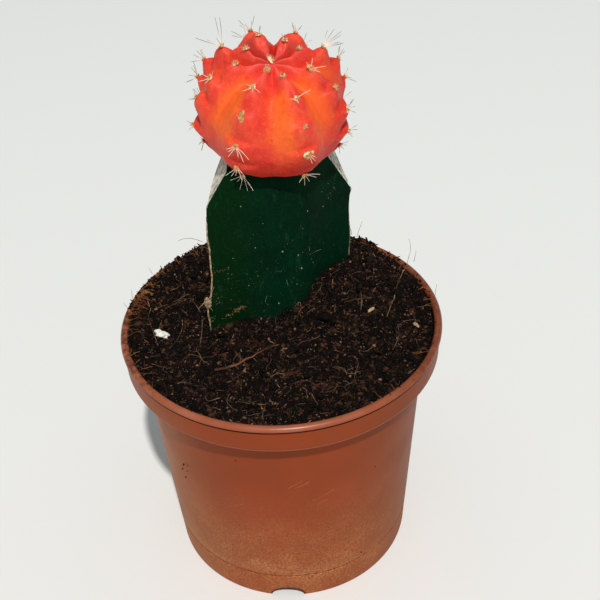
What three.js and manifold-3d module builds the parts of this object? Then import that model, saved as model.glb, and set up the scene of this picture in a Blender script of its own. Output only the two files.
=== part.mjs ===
// A potted moon cactus: a red ribbed cactus grafted on a green three-angled rootstock,
// standing in potting soil in a terracotta-coloured plastic nursery pot.
// Millimetres, +Z up, origin at the middle of the pot's base, the cactus's front towards -Y.

import * as THREE from 'three';
import { mergeVertices } from 'three/addons/utils/BufferGeometryUtils.js';
import Module from 'manifold-3d';

const wasm = await Module();
wasm.setup();

const gap = 0.3; // clearance between pieces that touch on the real plant

// Pot: outer radii and heights from the foot up
const pot = {
  height: 78.1,
  lipRadius: 45.0,
  lipInner: 42.8,
  lipCentreHeight: 77.0,
  collarTopRadius: 44.6,
  collarBottomRadius: 44.3,
  collarBottom: 69.6,
  wallTopRadius: 40.0,
  wallTop: 68.0,
  grooveRadius: 36.2,
  grooveHeight: 9.6,
  grooveDepth: 0.35,
  footRadius: 35.6,
  footInner: 32.4,
  recess: 2.4,
  edgeRound: 0.4,
  wall: 1.3,
  sides: 48,
};
const footNotch = { count: 3, width: 9.6, height: 3.7, length: 4.6, sides: 24, bearing: -4 };
const drainHole = { count: 6, radius: 3, ringRadius: 22, length: 8, sides: 12 };

// Soil: lower at the front rim, level with the lip behind, heaped round the stem
const soil = {
  centreHeight: 76.6,
  rise: 0.05,
  heap: 3.0,
  heapX: 8,
  heapY: 20,
  heapSpread: 17,
  rings: 9,
  sides: 48,
};

// Rootstock: ends of its three ribs, at soil level and at the graft
const stem = {
  soilLevel: 77,
  top: 123.7,
  bottom: 55,
  taperHeight: 15,
  taperTo: 0.55,
  bulge: 0.38,
  low: { centre: [-4, 13], ribs: [[-19.8, -2], [20.8, 26], [-9, 33]] },
  high: { centre: [0, 13.5], ribs: [[-16.7, 2], [21.4, 17], [-6, 30]] },
  stepsPerFace: 12,
  along: 10,
};
// Each shoulder cut: a point on its face and the way the face looks
const shoulderCuts = [
  { at: [-12.3, 2.8, 122.5], facing: [-0.84, 0.03, 0.54] },
  { at: [15.8, 20.3, 121.6], facing: [0.926, -0.139, 0.351] },
  { at: [-4, 25.6, 123.9], facing: [-0.12, 0.86, 0.5] },
];

// Head: a slightly flattened globe that leans to the front. Its ranges are latitudes in degrees,
// but for frontShape and frontDepth. Those are cosines of the bearing, between which a furrow
// turns from a sharp one behind into a soft one in front, and its top grows shallower
const head = {
  centre: [1.2, 13, 136],
  radius: 19.35,
  halfHeight: 17.8,
  base: 124,
  leanFront: 17.5,
  leanRight: 2.6,
  furrowLow: 0.035,
  furrowHigh: 0.15,
  furrowRange: [-25, 55],
  furrowTop: 0.38,
  topRange: [30, 66],
  frontTop: 0.08,
  frontDepth: [-0.75, 0.1],
  frontShape: [-0.95, -0.6],
  softPower: 3,
  powerLow: 1.8,
  powerHigh: 4.4,
  powerRange: [20, 60],
  crestWidth: 0.34,
  crestPower: 1.2,
  chin: 0.115,
  chinRange: [-45, -15],
  crownDip: 0.17,
  dipRange: [52, 84],
  crown: [72, 90],
  stepsPerRib: 6,
  along: 36,
};
// Each rib: its bearing from the front towards +X and the latitudes of its areoles, in degrees,
// how far it stands out beyond the globe, as a share of the radius, and how bold its chins are
const ribs = [
  { bearing: -28, swell: 0, bold: 0.6, areoles: [80, 59, 37, 12, -11, -30] },
  { bearing: 25.5, swell: 0, bold: 0.6, areoles: [71, 50, 29, 5, -25] },
  { bearing: 71.5, swell: 0, bold: 0.9, areoles: [60, 38, 16, -6, -25] },
  { bearing: 116, swell: 0.04, bold: 1, areoles: [68, 48, 28, 6, -17] },
  { bearing: 155.5, swell: 0, bold: 1, areoles: [66, 44, 18, -6, -28] },
  { bearing: 200.5, swell: 0.02, bold: 1, areoles: [62, 43, 24, 2, -21] },
  { bearing: 244, swell: 0.06, bold: 1, areoles: [69, 50, 27, 7, -16] },
  { bearing: 280, swell: 0.02, bold: 1, areoles: [63, 42, 22, -6, -26] },
];

// Spine clusters: a woolly cushion with a fan of short spines
const cushion = { radius: 0.95, height: 0.5 };
const spine = { baseRadius: 0.2, length: 4.2, curve: 0.16, lean: 52 };
const spineTurns = [40, 140, 215, 325]; // from up the rib, counter-clockwise from outside

const colours = {
  pot: '#8e4a30',
  soil: '#211912',
  rootstock: '#0c2c18',
  head: '#e4492f',
  spines: '#d8bd92',
  cork: '#a3906e',
  perlite: '#e9e4da',
  grit: '#b79a72',
  fibre: '#6d5740',
};

// A corky bud on the edge of the front left rib
const bud = { height: 85.5, size: [0.9, 1.4, 2.2] };

// Loose grains on the soil: a white perlite crumb and two grits
const grains = [
  { name: 'perlite_crumb', at: [-33.6, -3], size: [2.4, 1.4, 1.1], turn: -25, wave: 3.1, colour: colours.perlite },
  { name: 'grit_grain_1', at: [25.6, 1.8], size: [1.2, 0.6, 0.5], turn: 40, wave: 2.3, colour: colours.grit },
  { name: 'grit_grain_2', at: [37.4, -5.1], size: [1.0, 0.7, 0.5], turn: -50, wave: 2.7, colour: colours.grit },
];

// A twig and root fibres that lie on the soil, as routes in plan
const strands = [
  { name: 'twig', radius: 0.45, route: [[-18.1, -19.3], [-14.5, -18], [-10.8, -16.2], [-7.2, -13.2], [-1, -9.8]] },
  { name: 'root_fibre_1', radius: 0.25, route: [[0.2, -12.1], [3.6, -10.6], [6.9, -9.3], [10.6, -7]] },
  { name: 'root_fibre_2', radius: 0.25, route: [[-26.3, 11.3], [-24, 7.5], [-22.2, 3], [-22.2, -2.1], [-22.6, -8.3]] },
  { name: 'root_fibre_3', radius: 0.22, route: [[-39.2, 15], [-38.4, 10.5], [-37.2, 6.5], [-37.6, 3]] },
  { name: 'root_fibre_4', radius: 0.25, route: [[36.5, 18.5], [34, 12], [32.4, 6], [29.7, -1.3]] },
];

const degrees = THREE.MathUtils.degToRad;
const { lerp, clamp, smoothstep } = THREE.MathUtils;
const group = new THREE.Group();

function material(color, roughness) {
  return new THREE.MeshStandardMaterial({ color, roughness, metalness: 0 });
}

function add(name, geometry, finish) {
  const mesh = new THREE.Mesh(geometry, finish);
  mesh.name = name;
  group.add(mesh);
  return mesh;
}

// Merge shared vertices, so that only closed position data is left
function merged(geometry) {
  const bare = geometry.clone();
  bare.deleteAttribute('normal');
  bare.deleteAttribute('uv');
  return mergeVertices(bare, 1e-4);
}

function toSolid(geometry) {
  const closed = merged(geometry);
  const corners = closed.index.array;
  const kept = [];
  for (let i = 0; i < corners.length; i += 3) {
    const [a, b, c] = [corners[i], corners[i + 1], corners[i + 2]];
    if (a !== b && b !== c && c !== a) kept.push(a, b, c);
  }
  const mesh = new wasm.Mesh({
    numProp: 3,
    vertProperties: new Float32Array(closed.attributes.position.array),
    triVerts: new Uint32Array(kept),
  });
  return new wasm.Manifold(mesh);
}

function fromSolid(solid) {
  const mesh = solid.getMesh();
  const geometry = new THREE.BufferGeometry();
  geometry.setAttribute('position', new THREE.BufferAttribute(mesh.vertProperties, 3));
  geometry.setIndex(new THREE.BufferAttribute(mesh.triVerts, 1));
  geometry.computeVertexNormals();
  return geometry;
}

function moveVertices(geometry, rule) {
  const places = geometry.attributes.position;
  const point = new THREE.Vector3();
  for (let i = 0; i < places.count; i += 1) {
    point.fromBufferAttribute(places, i);
    rule(point);
    places.setXYZ(i, point.x, point.y, point.z);
  }
  return geometry;
}

// A path in radius and height, turned round +Z
function turned(path, divisions, sides) {
  const outline = path.getPoints(divisions);
  return new THREE.LatheGeometry(outline, sides).rotateX(Math.PI / 2);
}

// Nursery pot

function innerWallRadius(height) {
  const slope = (pot.wallTopRadius - pot.grooveRadius) / (pot.wallTop - pot.grooveHeight);
  return pot.grooveRadius - pot.wall + slope * (height - pot.grooveHeight);
}

function potGeometry() {
  const floorTop = pot.recess + pot.wall;
  const lipWidth = (pot.lipRadius - pot.lipInner) / 2;
  const outline = new THREE.Path();
  outline.moveTo(0, pot.recess);
  outline.lineTo(pot.footInner - 2 * pot.edgeRound, pot.recess);
  outline.lineTo(pot.footInner, 0);
  outline.lineTo(pot.footRadius - pot.edgeRound, 0);
  outline.lineTo(pot.footRadius, pot.edgeRound);
  outline.lineTo(pot.grooveRadius - 0.05, pot.grooveHeight - 0.5);
  outline.lineTo(pot.grooveRadius - pot.grooveDepth, pot.grooveHeight);
  outline.lineTo(pot.grooveRadius + 0.05, pot.grooveHeight + 0.5);
  outline.lineTo(pot.wallTopRadius, pot.wallTop);
  outline.quadraticCurveTo(
    pot.wallTopRadius + 0.3, pot.collarBottom - 0.2,
    pot.collarBottomRadius - 0.9, pot.collarBottom - 0.1,
  );
  outline.lineTo(pot.collarBottomRadius, pot.collarBottom + 0.6);
  outline.lineTo(pot.collarTopRadius, pot.lipCentreHeight - 0.8);
  outline.lineTo(pot.collarTopRadius - 0.3, pot.lipCentreHeight - 0.45);
  outline.lineTo(pot.lipRadius, pot.lipCentreHeight);
  outline.absellipse(
    pot.lipRadius - lipWidth, pot.lipCentreHeight,
    lipWidth, pot.height - pot.lipCentreHeight, 0, Math.PI, false,
  );
  outline.lineTo(pot.lipInner - 0.1, pot.collarBottom + 1.6);
  outline.lineTo(innerWallRadius(pot.wallTop), pot.wallTop + 0.9);
  outline.lineTo(innerWallRadius(pot.grooveHeight), pot.grooveHeight);
  outline.lineTo(innerWallRadius(floorTop) - pot.edgeRound, floorTop);
  outline.lineTo(0, floorTop);
  return turned(outline, 3, pot.sides);
}

function makePot() {
  let body = toSolid(potGeometry());
  for (let i = 0; i < footNotch.count; i += 1) {
    const { width, height, length, sides } = footNotch;
    const arch = new THREE.CylinderGeometry(width / 2, width / 2, length, sides);
    arch.scale(1, 1, height / (width / 2));
    arch.translate(0, -(pot.footInner + pot.footRadius) / 2, 0);
    arch.rotateZ(degrees(footNotch.bearing) + i * 2 * Math.PI / footNotch.count);
    body = body.subtract(toSolid(arch));
  }
  for (let i = 0; i < drainHole.count; i += 1) {
    const { radius, length, sides } = drainHole;
    const hole = new THREE.CylinderGeometry(radius, radius, length, sides);
    hole.rotateX(Math.PI / 2);
    hole.translate(0, drainHole.ringRadius, pot.recess);
    hole.rotateZ((i + 0.5) * 2 * Math.PI / drainHole.count);
    body = body.subtract(toSolid(hole));
  }
  add('nursery_pot', fromSolid(body), material(colours.pot, 0.5));
}

// Potting soil

function soilHeight(x, y) {
  const away = Math.hypot(x - soil.heapX, y - soil.heapY) / soil.heapSpread;
  return soil.centreHeight + soil.rise * y + soil.heap * Math.exp(-away * away);
}

function soilGeometry() {
  const floor = pot.recess + pot.wall + gap;
  const edge = pot.lipInner - 0.1 - gap;
  const outline = new THREE.Path();
  outline.moveTo(0, floor);
  outline.lineTo(innerWallRadius(floor) - pot.edgeRound - gap, floor);
  outline.lineTo(innerWallRadius(pot.grooveHeight) - gap, pot.grooveHeight);
  outline.lineTo(innerWallRadius(pot.wallTop) - gap, pot.wallTop + 1);
  outline.lineTo(edge - 0.1, pot.collarBottom + 1.9);
  for (let ring = soil.rings; ring >= 0; ring -= 1) {
    outline.lineTo(edge * ring / soil.rings, soil.centreHeight);
  }
  return moveVertices(turned(outline, 1, soil.sides), (point) => {
    if (point.z > soil.centreHeight - 1) point.z = soilHeight(point.x, point.y);
  });
}

// Rootstock

// A point on the outline of a cross-section, from the face it is on and how far along it lies
function outlinePoint(section, face, along) {
  const ends = [face, (face + 1) % 3].map((rib) => {
    const [x, y] = section.ribs[rib];
    const [dx, dy] = [x - section.centre[0], y - section.centre[1]];
    return { reach: Math.hypot(dx, dy), angle: Math.atan2(dy, dx) };
  });
  const span = (ends[1].angle - ends[0].angle + 2 * Math.PI) % (2 * Math.PI);
  const turn = span * (1 - Math.cos(Math.PI * along)) / 2;
  const flat = ends[0].reach * ends[1].reach * Math.sin(span)
    / (ends[0].reach * Math.sin(turn) + ends[1].reach * Math.sin(span - turn));
  const round = lerp(ends[0].reach, ends[1].reach, turn / span);
  const reach = lerp(flat, round, stem.bulge);
  return new THREE.Vector2(
    section.centre[0] + reach * Math.cos(ends[0].angle + turn),
    section.centre[1] + reach * Math.sin(ends[0].angle + turn),
  );
}

function stemOutline(up, place) {
  const third = ((place % 3) + 3) % 3;
  const face = Math.floor(third);
  const low = outlinePoint(stem.low, face, third - face);
  return low.lerp(outlinePoint(stem.high, face, third - face), up);
}

function stemGeometry(grow) {
  const around = 3 * stem.stepsPerFace;
  const length = stem.top - stem.bottom;
  const step = 0.01;
  const geometry = new THREE.CylinderGeometry(1, 1, length, around, stem.along);
  geometry.rotateX(Math.PI / 2).translate(0, 0, (stem.top + stem.bottom) / 2);
  return moveVertices(geometry, (point) => {
    const up = clamp((point.z - stem.soilLevel) / (stem.top - stem.soilLevel), 0, 1);
    const turn = (Math.atan2(point.y, point.x) / (2 * Math.PI) + 1) * around;
    const place = Math.round(turn) / stem.stepsPerFace;
    const skin = stemOutline(up, place);
    const before = skin.clone().sub(stemOutline(up, place - step)).normalize();
    const after = stemOutline(up, place + step).sub(skin).normalize();
    const along = before.add(after).normalize();
    const mitre = grow / along.dot(after);
    skin.add(new THREE.Vector2(along.y, -along.x).multiplyScalar(mitre));
    const middle = new THREE.Vector2(...stem.low.centre).lerp(new THREE.Vector2(...stem.high.centre), up);
    const sunk = clamp((point.z - stem.bottom) / stem.taperHeight, 0, 1);
    const scale = Math.hypot(point.x, point.y) * lerp(stem.taperTo, 1, sunk);
    middle.lerp(skin, scale);
    const drop = point.z < stem.bottom + 0.01 ? grow : 0;
    point.set(middle.x, middle.y, point.z - drop);
  });
}

function makeStem() {
  let body = toSolid(stemGeometry(0));
  const size = 60;
  for (const cut of shoulderCuts) {
    const blade = new THREE.BoxGeometry(size, size, size).translate(0, 0, size / 2);
    const turn = new THREE.Quaternion().setFromUnitVectors(
      new THREE.Vector3(0, 0, 1),
      new THREE.Vector3(...cut.facing).normalize(),
    );
    blade.applyQuaternion(turn).translate(...cut.at);
    body = body.subtract(toSolid(blade));
  }
  add('rootstock', fromSolid(body), material(colours.rootstock, 0.35));
}

function makeSoil() {
  const body = toSolid(soilGeometry()).subtract(toSolid(stemGeometry(gap + 0.1)));
  add('potting_soil', fromSolid(body), material(colours.soil, 0.95));
}

// Head

const headTurn = new THREE.Matrix4().makeTranslation(...head.centre)
  .multiply(new THREE.Matrix4().makeRotationY(degrees(head.leanRight)))
  .multiply(new THREE.Matrix4().makeRotationX(degrees(head.leanFront)));

// The chins along a rib: 1 at each areole, falling to 0 in the notch above the next
function chinShape(latitude, areoles) {
  const [flat, notch] = [0.14, 0.84];
  const spacing = 23;
  let above = areoles[0] + spacing;
  for (const below of [...areoles, areoles[areoles.length - 1] - spacing]) {
    if (latitude >= below) {
      const down = clamp((above - latitude) / (above - below), 0, 1);
      if (down < flat) return 1;
      return down < notch ? (notch - down) / (notch - flat) : (down - notch) / (1 - notch);
    }
    above = below;
  }
  return 0;
}

// Bearing of a place round the head, where whole numbers are rib crests and halves are furrows
function bearingAt(place) {
  const turn = ((place % ribs.length) + ribs.length) % ribs.length;
  const left = Math.floor(turn);
  const last = left === ribs.length - 1;
  const next = last ? ribs[0].bearing + 360 : ribs[left + 1].bearing;
  return lerp(ribs[left].bearing, next, turn - left);
}

// A point on the head's skin, from its latitude in degrees and its place round the head
function headPoint(latitude, place) {
  const off = Math.abs(place - Math.round(place));
  const rib = ribs[((Math.round(place) % ribs.length) + ribs.length) % ribs.length];
  const facing = Math.cos(degrees(bearingAt(place)));
  const power = lerp(head.powerLow, head.powerHigh, smoothstep(latitude, ...head.powerRange));
  const soft = Math.sin(Math.PI * off) ** head.softPower;
  const furrow = lerp((2 * off) ** power, soft, smoothstep(facing, ...head.frontShape));
  const crest = Math.max(0, 1 - off / head.crestWidth) ** head.crestPower;
  const top = head.furrowTop * lerp(1, head.frontTop, smoothstep(facing, ...head.frontDepth));
  const depth = lerp(head.furrowLow, head.furrowHigh, smoothstep(latitude, ...head.furrowRange))
    + top * smoothstep(latitude, ...head.topRange);
  const crown = smoothstep(latitude, ...head.dipRange);
  const fade = 1 - smoothstep(latitude, ...head.crown);
  const chinSize = head.chin * rib.bold * fade * smoothstep(latitude, ...head.chinRange);
  const scale = 1 + rib.swell * crest * fade - depth * furrow * fade - head.crownDip * crown
    + chinSize * crest * (chinShape(latitude, rib.areoles) - 0.5);
  const [up, round] = [degrees(latitude), degrees(bearingAt(place))];
  return new THREE.Vector3(
    head.radius * Math.cos(up) * Math.sin(round),
    -head.radius * Math.cos(up) * Math.cos(round),
    head.halfHeight * Math.sin(up),
  ).multiplyScalar(scale).applyMatrix4(headTurn);
}

function makeHead() {
  const around = ribs.length * head.stepsPerRib;
  const globe = new THREE.SphereGeometry(1, around, head.along).rotateX(Math.PI / 2);
  moveVertices(globe, (point) => {
    const latitude = THREE.MathUtils.radToDeg(Math.asin(clamp(point.z, -1, 1)));
    const column = Math.round((Math.atan2(point.x, -point.y) / (2 * Math.PI)) * around);
    point.copy(headPoint(latitude, column / head.stepsPerRib));
  });
  const below = new THREE.BoxGeometry(80, 80, 40);
  below.translate(head.centre[0], head.centre[1], head.base - 20);
  add('moon_cactus_head', fromSolid(toSolid(globe).subtract(toSolid(below))), material(colours.head, 0.45));
}

// Spine clusters

// Turns +Z to the skin's outward normal and +Y up the rib
function areoleFrame(latitude, rib, out) {
  const place = headPoint(latitude, rib);
  const [round, up] = [degrees(ribs[rib].bearing), degrees(latitude)];
  const normal = new THREE.Vector3(
    Math.cos(up) * Math.sin(round),
    -Math.cos(up) * Math.cos(round),
    Math.sin(up),
  ).transformDirection(headTurn);
  const along = headPoint(latitude + 3, rib).sub(headPoint(latitude - 3, rib)).normalize();
  const side = new THREE.Vector3().crossVectors(along, normal).normalize();
  const upward = new THREE.Vector3().crossVectors(normal, side).normalize();
  return new THREE.Matrix4().makeBasis(side, upward, normal)
    .setPosition(place.addScaledVector(normal, out));
}

function clusterGeometry(stretch) {
  const pad = new THREE.SphereGeometry(1, 6, 4).rotateX(Math.PI / 2);
  pad.scale(cushion.radius, cushion.radius * 1.25, cushion.height);
  let body = toSolid(pad);
  for (const turn of spineTurns) {
    const length = spine.length * stretch;
    const thorn = new THREE.ConeGeometry(spine.baseRadius, length, 3, 2).rotateX(Math.PI / 2);
    thorn.translate(0, 0, length / 2);
    moveVertices(thorn, (point) => {
      point.x += spine.curve * point.z * point.z / spine.length;
    });
    thorn.rotateY(degrees(spine.lean)).rotateZ(degrees(90 + turn));
    body = body.add(toSolid(thorn));
  }
  return fromSolid(body);
}

function makeSpines() {
  const finish = material(colours.spines, 0.6);
  ribs.forEach((rib, ribIndex) => {
    rib.areoles.forEach((latitude, areoleIndex) => {
      const stretch = latitude > 60 ? 0.6 : 1;
      const geometry = clusterGeometry(stretch);
      const place = areoleFrame(latitude, ribIndex, gap + cushion.height);
      const cluster = add(`spines_rib_${ribIndex + 1}_areole_${areoleIndex + 1}`, geometry, finish);
      cluster.applyMatrix4(place);
    });
  });
}

// Rootstock bud, and what lies on the soil

function makeBud() {
  const up = (bud.height - stem.soilLevel) / (stem.top - stem.soilLevel);
  const corner = stemOutline(up, 0);
  const away = corner.clone().sub(new THREE.Vector2(...stem.low.centre)).normalize();
  const geometry = new THREE.SphereGeometry(1, 8, 6);
  geometry.scale(bud.size[0], bud.size[1], bud.size[2]);
  const reach = gap + bud.size[0];
  geometry.rotateZ(Math.atan2(away.y, away.x));
  geometry.translate(corner.x + away.x * reach, corner.y + away.y * reach, bud.height);
  add('rootstock_bud', geometry, material(colours.cork, 0.9));
}

// An uneven lump, its bumps set by sines of the vertex's own direction
function lumpGeometry(size, wave) {
  const bump = 0.12;
  const lump = new THREE.IcosahedronGeometry(1, 1);
  return moveVertices(lump, (point) => {
    const swell = 1 + bump * (Math.sin(wave * point.x + 1) + Math.sin(wave * point.y + 2 * point.z));
    point.set(point.x * size[0] * swell, point.y * size[1] * swell, point.z * size[2]);
  });
}

function makeGrains() {
  for (const grain of grains) {
    const [x, y] = grain.at;
    const lump = lumpGeometry(grain.size, grain.wave).rotateZ(degrees(grain.turn));
    lump.translate(x, y, soilHeight(x, y) + grain.size[2] + gap);
    add(grain.name, lump, material(grain.colour, 0.9));
  }
}

function makeStrands() {
  const slack = 0.12; // straight stretches cut the corner where the soil rises under them
  for (const strand of strands) {
    const lift = gap + strand.radius + slack;
    const route = strand.route.map(([x, y]) => new THREE.Vector3(x, y, soilHeight(x, y) + lift));
    const path = new THREE.CatmullRomCurve3(route);
    const section = new THREE.Shape();
    section.absarc(0, 0, strand.radius, 0, 2 * Math.PI);
    const options = { steps: 3 * route.length, curveSegments: 5, extrudePath: path };
    add(strand.name, new THREE.ExtrudeGeometry(section, options), material(colours.fibre, 0.9));
  }
}

makePot();
makeSoil();
makeStem();
makeHead();
makeSpines();
makeBud();
makeGrains();
makeStrands();

export default group;
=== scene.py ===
# A potted moon cactus: a red ribbed cactus grafted on a green three-angled rootstock,
# growing in dark potting soil in a round terracotta-coloured plastic nursery pot.

import math
import random

import bmesh
import bpy
from mathutils import Matrix, Vector, noise


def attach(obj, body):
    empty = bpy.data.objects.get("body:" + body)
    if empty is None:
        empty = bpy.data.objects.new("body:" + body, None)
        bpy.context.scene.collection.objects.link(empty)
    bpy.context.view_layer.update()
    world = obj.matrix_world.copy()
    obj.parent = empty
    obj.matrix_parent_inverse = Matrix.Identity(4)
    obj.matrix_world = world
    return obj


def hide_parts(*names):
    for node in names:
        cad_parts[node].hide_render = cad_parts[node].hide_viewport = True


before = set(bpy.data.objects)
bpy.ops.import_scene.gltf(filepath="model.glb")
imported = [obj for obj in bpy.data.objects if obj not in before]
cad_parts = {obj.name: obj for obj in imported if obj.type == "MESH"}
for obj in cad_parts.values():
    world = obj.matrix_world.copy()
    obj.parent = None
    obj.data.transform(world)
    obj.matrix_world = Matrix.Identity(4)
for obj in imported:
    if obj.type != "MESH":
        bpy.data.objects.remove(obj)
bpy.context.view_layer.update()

mm = 0.001  # shapes are worked out in millimetres, and scaled when a piece is finished
scene = bpy.context.scene
scene.view_settings.view_transform = "Standard"
print("frame loaded,", len(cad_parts), "nodes")


# Small tools used by every piece

def addObject(name, data):
    made = bpy.data.objects.new(name, data)
    scene.collection.objects.link(made)
    return made


def turnBy(degrees, way="Z"):
    return Matrix.Rotation(math.radians(degrees), 4, way)


def lerp(start, end, share):
    return start + (end - start) * share


def clamp(value, low=0.0, high=1.0):
    return max(low, min(high, value))


def smoothstep(low, high, value):
    share = clamp((value - low) / (high - low))
    return share * share * (3 - 2 * share)


def ripple(point, size, shift=0.0):
    return noise.noise(Vector(point) / size + Vector((shift, shift, shift)))  # about -1 to 1


def ripples(point, waves):
    # Ripples on top of each other, each given by its height, width and shift
    return sum(height * ripple(point, width, shift) for height, width, shift in waves)


def stretch(point, size):
    # The point with each of its three parts scaled on its own
    return Vector([part * share for part, share in zip(point, size)])


def paint(red, green, blue):
    # A colour as it shows on screen, 0 to 255, made linear
    def linear(value):
        share = value / 255
        return share / 12.92 if share <= 0.04045 else ((share + 0.055) / 1.055) ** 2.4
    return (linear(red), linear(green), linear(blue), 1.0)


# Camera: fitted to the pot's rim, collar, groove and foot

cameraView = {
    "place": (5.6, -224.2, 253.2),
    "down": 37.1,  # degrees below the horizon
    "roll": -3.0,
    "focal": 60.73,
    "sensor": 36.0,
    "clip": (0.01, 50.0),  # metres
}


def makeCamera():
    data = bpy.data.cameras.new("camera")
    data.sensor_width = cameraView["sensor"]
    data.lens = cameraView["focal"]
    data.clip_start, data.clip_end = cameraView["clip"]
    camera = addObject("camera", data)
    place = Matrix.Translation(Vector(cameraView["place"]) * mm)
    camera.matrix_world = place @ turnBy(90 - cameraView["down"], "X") @ turnBy(cameraView["roll"])
    scene.camera = camera


makeCamera()


# Node tools for the materials. Sizes of patterns are in millimetres, but a place or a height that
# a ramp starts or ends at is in metres, as Object coordinates are

def startMaterial(name):
    material = bpy.data.materials.new(name)
    material.use_nodes = True
    tree = material.node_tree
    return material, tree, tree.nodes["Principled BSDF"]


def addNode(tree, kind, **settings):
    made = tree.nodes.new(kind)
    for key, value in settings.items():
        setattr(made, key, value)
    return made


def feed(tree, socket, value):
    if isinstance(value, bpy.types.NodeSocket):
        tree.links.new(value, socket)
    else:
        socket.default_value = value


def objectPlace(tree, scale=(1, 1, 1), turn=(0, 0, 0), shift=(0, 0, 0)):
    coords = addNode(tree, "ShaderNodeTexCoord")
    mapping = addNode(tree, "ShaderNodeMapping")
    tree.links.new(coords.outputs["Object"], mapping.inputs["Vector"])
    mapping.inputs["Location"].default_value = shift
    mapping.inputs["Rotation"].default_value = [math.radians(angle) for angle in turn]
    mapping.inputs["Scale"].default_value = scale
    return mapping.outputs["Vector"]


def attribute(tree, name):
    return addNode(tree, "ShaderNodeAttribute", attribute_name=name).outputs["Fac"]


def cloud(tree, place, size, detail=3.0, rough=0.5, warp=0.0):
    # Soft noise whose patches are about size millimetres across
    texture = addNode(tree, "ShaderNodeTexNoise")
    feed(tree, texture.inputs["Vector"], place)
    texture.inputs["Scale"].default_value = 1 / (size * mm)
    texture.inputs["Detail"].default_value = detail
    texture.inputs["Roughness"].default_value = rough
    texture.inputs["Distortion"].default_value = warp
    return texture.outputs["Fac"]


def specks(tree, place, spacing, spread, least):
    # 1 in scattered dots, one to a cell of spacing millimetres. Each has its own radius, up to
    # spread less least of a cell, and many cells have no dot
    texture = addNode(tree, "ShaderNodeTexVoronoi", feature="F1")
    feed(tree, texture.inputs["Vector"], place)
    texture.inputs["Scale"].default_value = 1 / (spacing * mm)
    size = times(tree, axes(tree, texture.outputs["Color"])[0], spread)
    return combine(tree, "LESS_THAN", texture.outputs["Distance"], combine(tree, "SUBTRACT", size, least))


def ramp(tree, value, low, high, lowTo=0.0, highTo=1.0):
    # A soft step from lowTo at low to highTo at high
    rangeNode = addNode(tree, "ShaderNodeMapRange", interpolation_type="SMOOTHSTEP")
    feed(tree, rangeNode.inputs["Value"], value)
    rangeNode.inputs["From Min"].default_value = low
    rangeNode.inputs["From Max"].default_value = high
    rangeNode.inputs["To Min"].default_value = lowTo
    rangeNode.inputs["To Max"].default_value = highTo
    return rangeNode.outputs["Result"]


def combine(tree, operation, first, *others):
    for other in others:
        made = addNode(tree, "ShaderNodeMath", operation=operation)
        feed(tree, made.inputs[0], first)
        feed(tree, made.inputs[1], other)
        first = made.outputs["Value"]
    return first


def times(tree, *values):
    return combine(tree, "MULTIPLY", *values)


def plus(tree, *values):
    return combine(tree, "ADD", *values)


def apart(tree, value, middle):
    # How far a value is from a middle, on either side
    return combine(tree, "ABSOLUTE", combine(tree, "SUBTRACT", value, middle), 0.0)


def blend(tree, share, first, second):
    made = addNode(tree, "ShaderNodeMix", data_type="RGBA")
    feed(tree, made.inputs[0], share)
    feed(tree, made.inputs[6], first)
    feed(tree, made.inputs[7], second)
    return made.outputs[2]


def layer(tree, under, shade, *shares):
    # A coat of one shade, 0 to 255, as strong as its shares multiplied together
    return blend(tree, times(tree, *shares), under, paint(*shade))


def blotches(tree, place, texture, *limits):
    # Patches of noise: texture is what cloud takes, and limits is what ramp takes
    return ramp(tree, cloud(tree, place, *texture), *limits)


def band(tree, value, start, full, fading, end):
    # 1 from full to fading, and 0 before the start and after the end
    return times(tree, ramp(tree, value, start, full), ramp(tree, value, end, fading))


def axes(tree, place):
    split = addNode(tree, "ShaderNodeSeparateXYZ")
    tree.links.new(place, split.inputs["Vector"])
    return split.outputs


def setInputs(tree, shader, inputs):
    for name, value in inputs.items():
        feed(tree, shader.inputs[name], value)


def relief(tree, height, depth, strength=1.0, under=None):
    # Bump of up to depth millimetres
    bump = addNode(tree, "ShaderNodeBump")
    bump.inputs["Strength"].default_value = strength
    bump.inputs["Distance"].default_value = depth * mm
    feed(tree, bump.inputs["Height"], height)
    if under is not None:
        tree.links.new(under, bump.inputs["Normal"])
    return bump.outputs["Normal"]


# Mesh tools

def meshInMetres(name, bm):
    bmesh.ops.scale(bm, vec=(mm, mm, mm), verts=bm.verts)
    mesh = bpy.data.meshes.new(name)
    bm.to_mesh(mesh)
    bm.free()
    return mesh


def placeMesh(name, mesh, materials, replaced=(), sharpAngle=180):
    for material in materials:
        mesh.materials.append(material)
    for face in mesh.polygons:
        face.use_smooth = True
    if sharpAngle < 180:
        mesh.set_sharp_from_angle(angle=math.radians(sharpAngle))
    piece = addObject(name, mesh)
    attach(piece, "root")
    if replaced:
        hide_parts(*replaced)


def finishPiece(name, bm, materials, replaced=(), sharpAngle=180):
    placeMesh(name, meshInMetres(name, bm), materials, replaced, sharpAngle)


def spinLine(points, steps):
    # A shell turned round the upright axis from a line of points
    bm = bmesh.new()
    corners = [bm.verts.new(point) for point in points]
    for first, second in zip(corners, corners[1:]):
        bm.edges.new((first, second))
    bmesh.ops.spin(
        bm, geom=bm.verts[:] + bm.edges[:], axis=(0, 0, 1), cent=(0, 0, 0),
        angle=2 * math.pi, steps=steps, use_merge=True, use_duplicate=False,
    )
    return bm


def spunBody(outline, steps):
    # A closed body turned from radius and height points, from the axis back to the axis
    bm = spinLine([(radius, 0, height) for radius, height in outline], steps)
    bmesh.ops.remove_doubles(bm, verts=bm.verts, dist=0.001)
    bmesh.ops.recalc_face_normals(bm, faces=bm.faces)
    return bm


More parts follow.
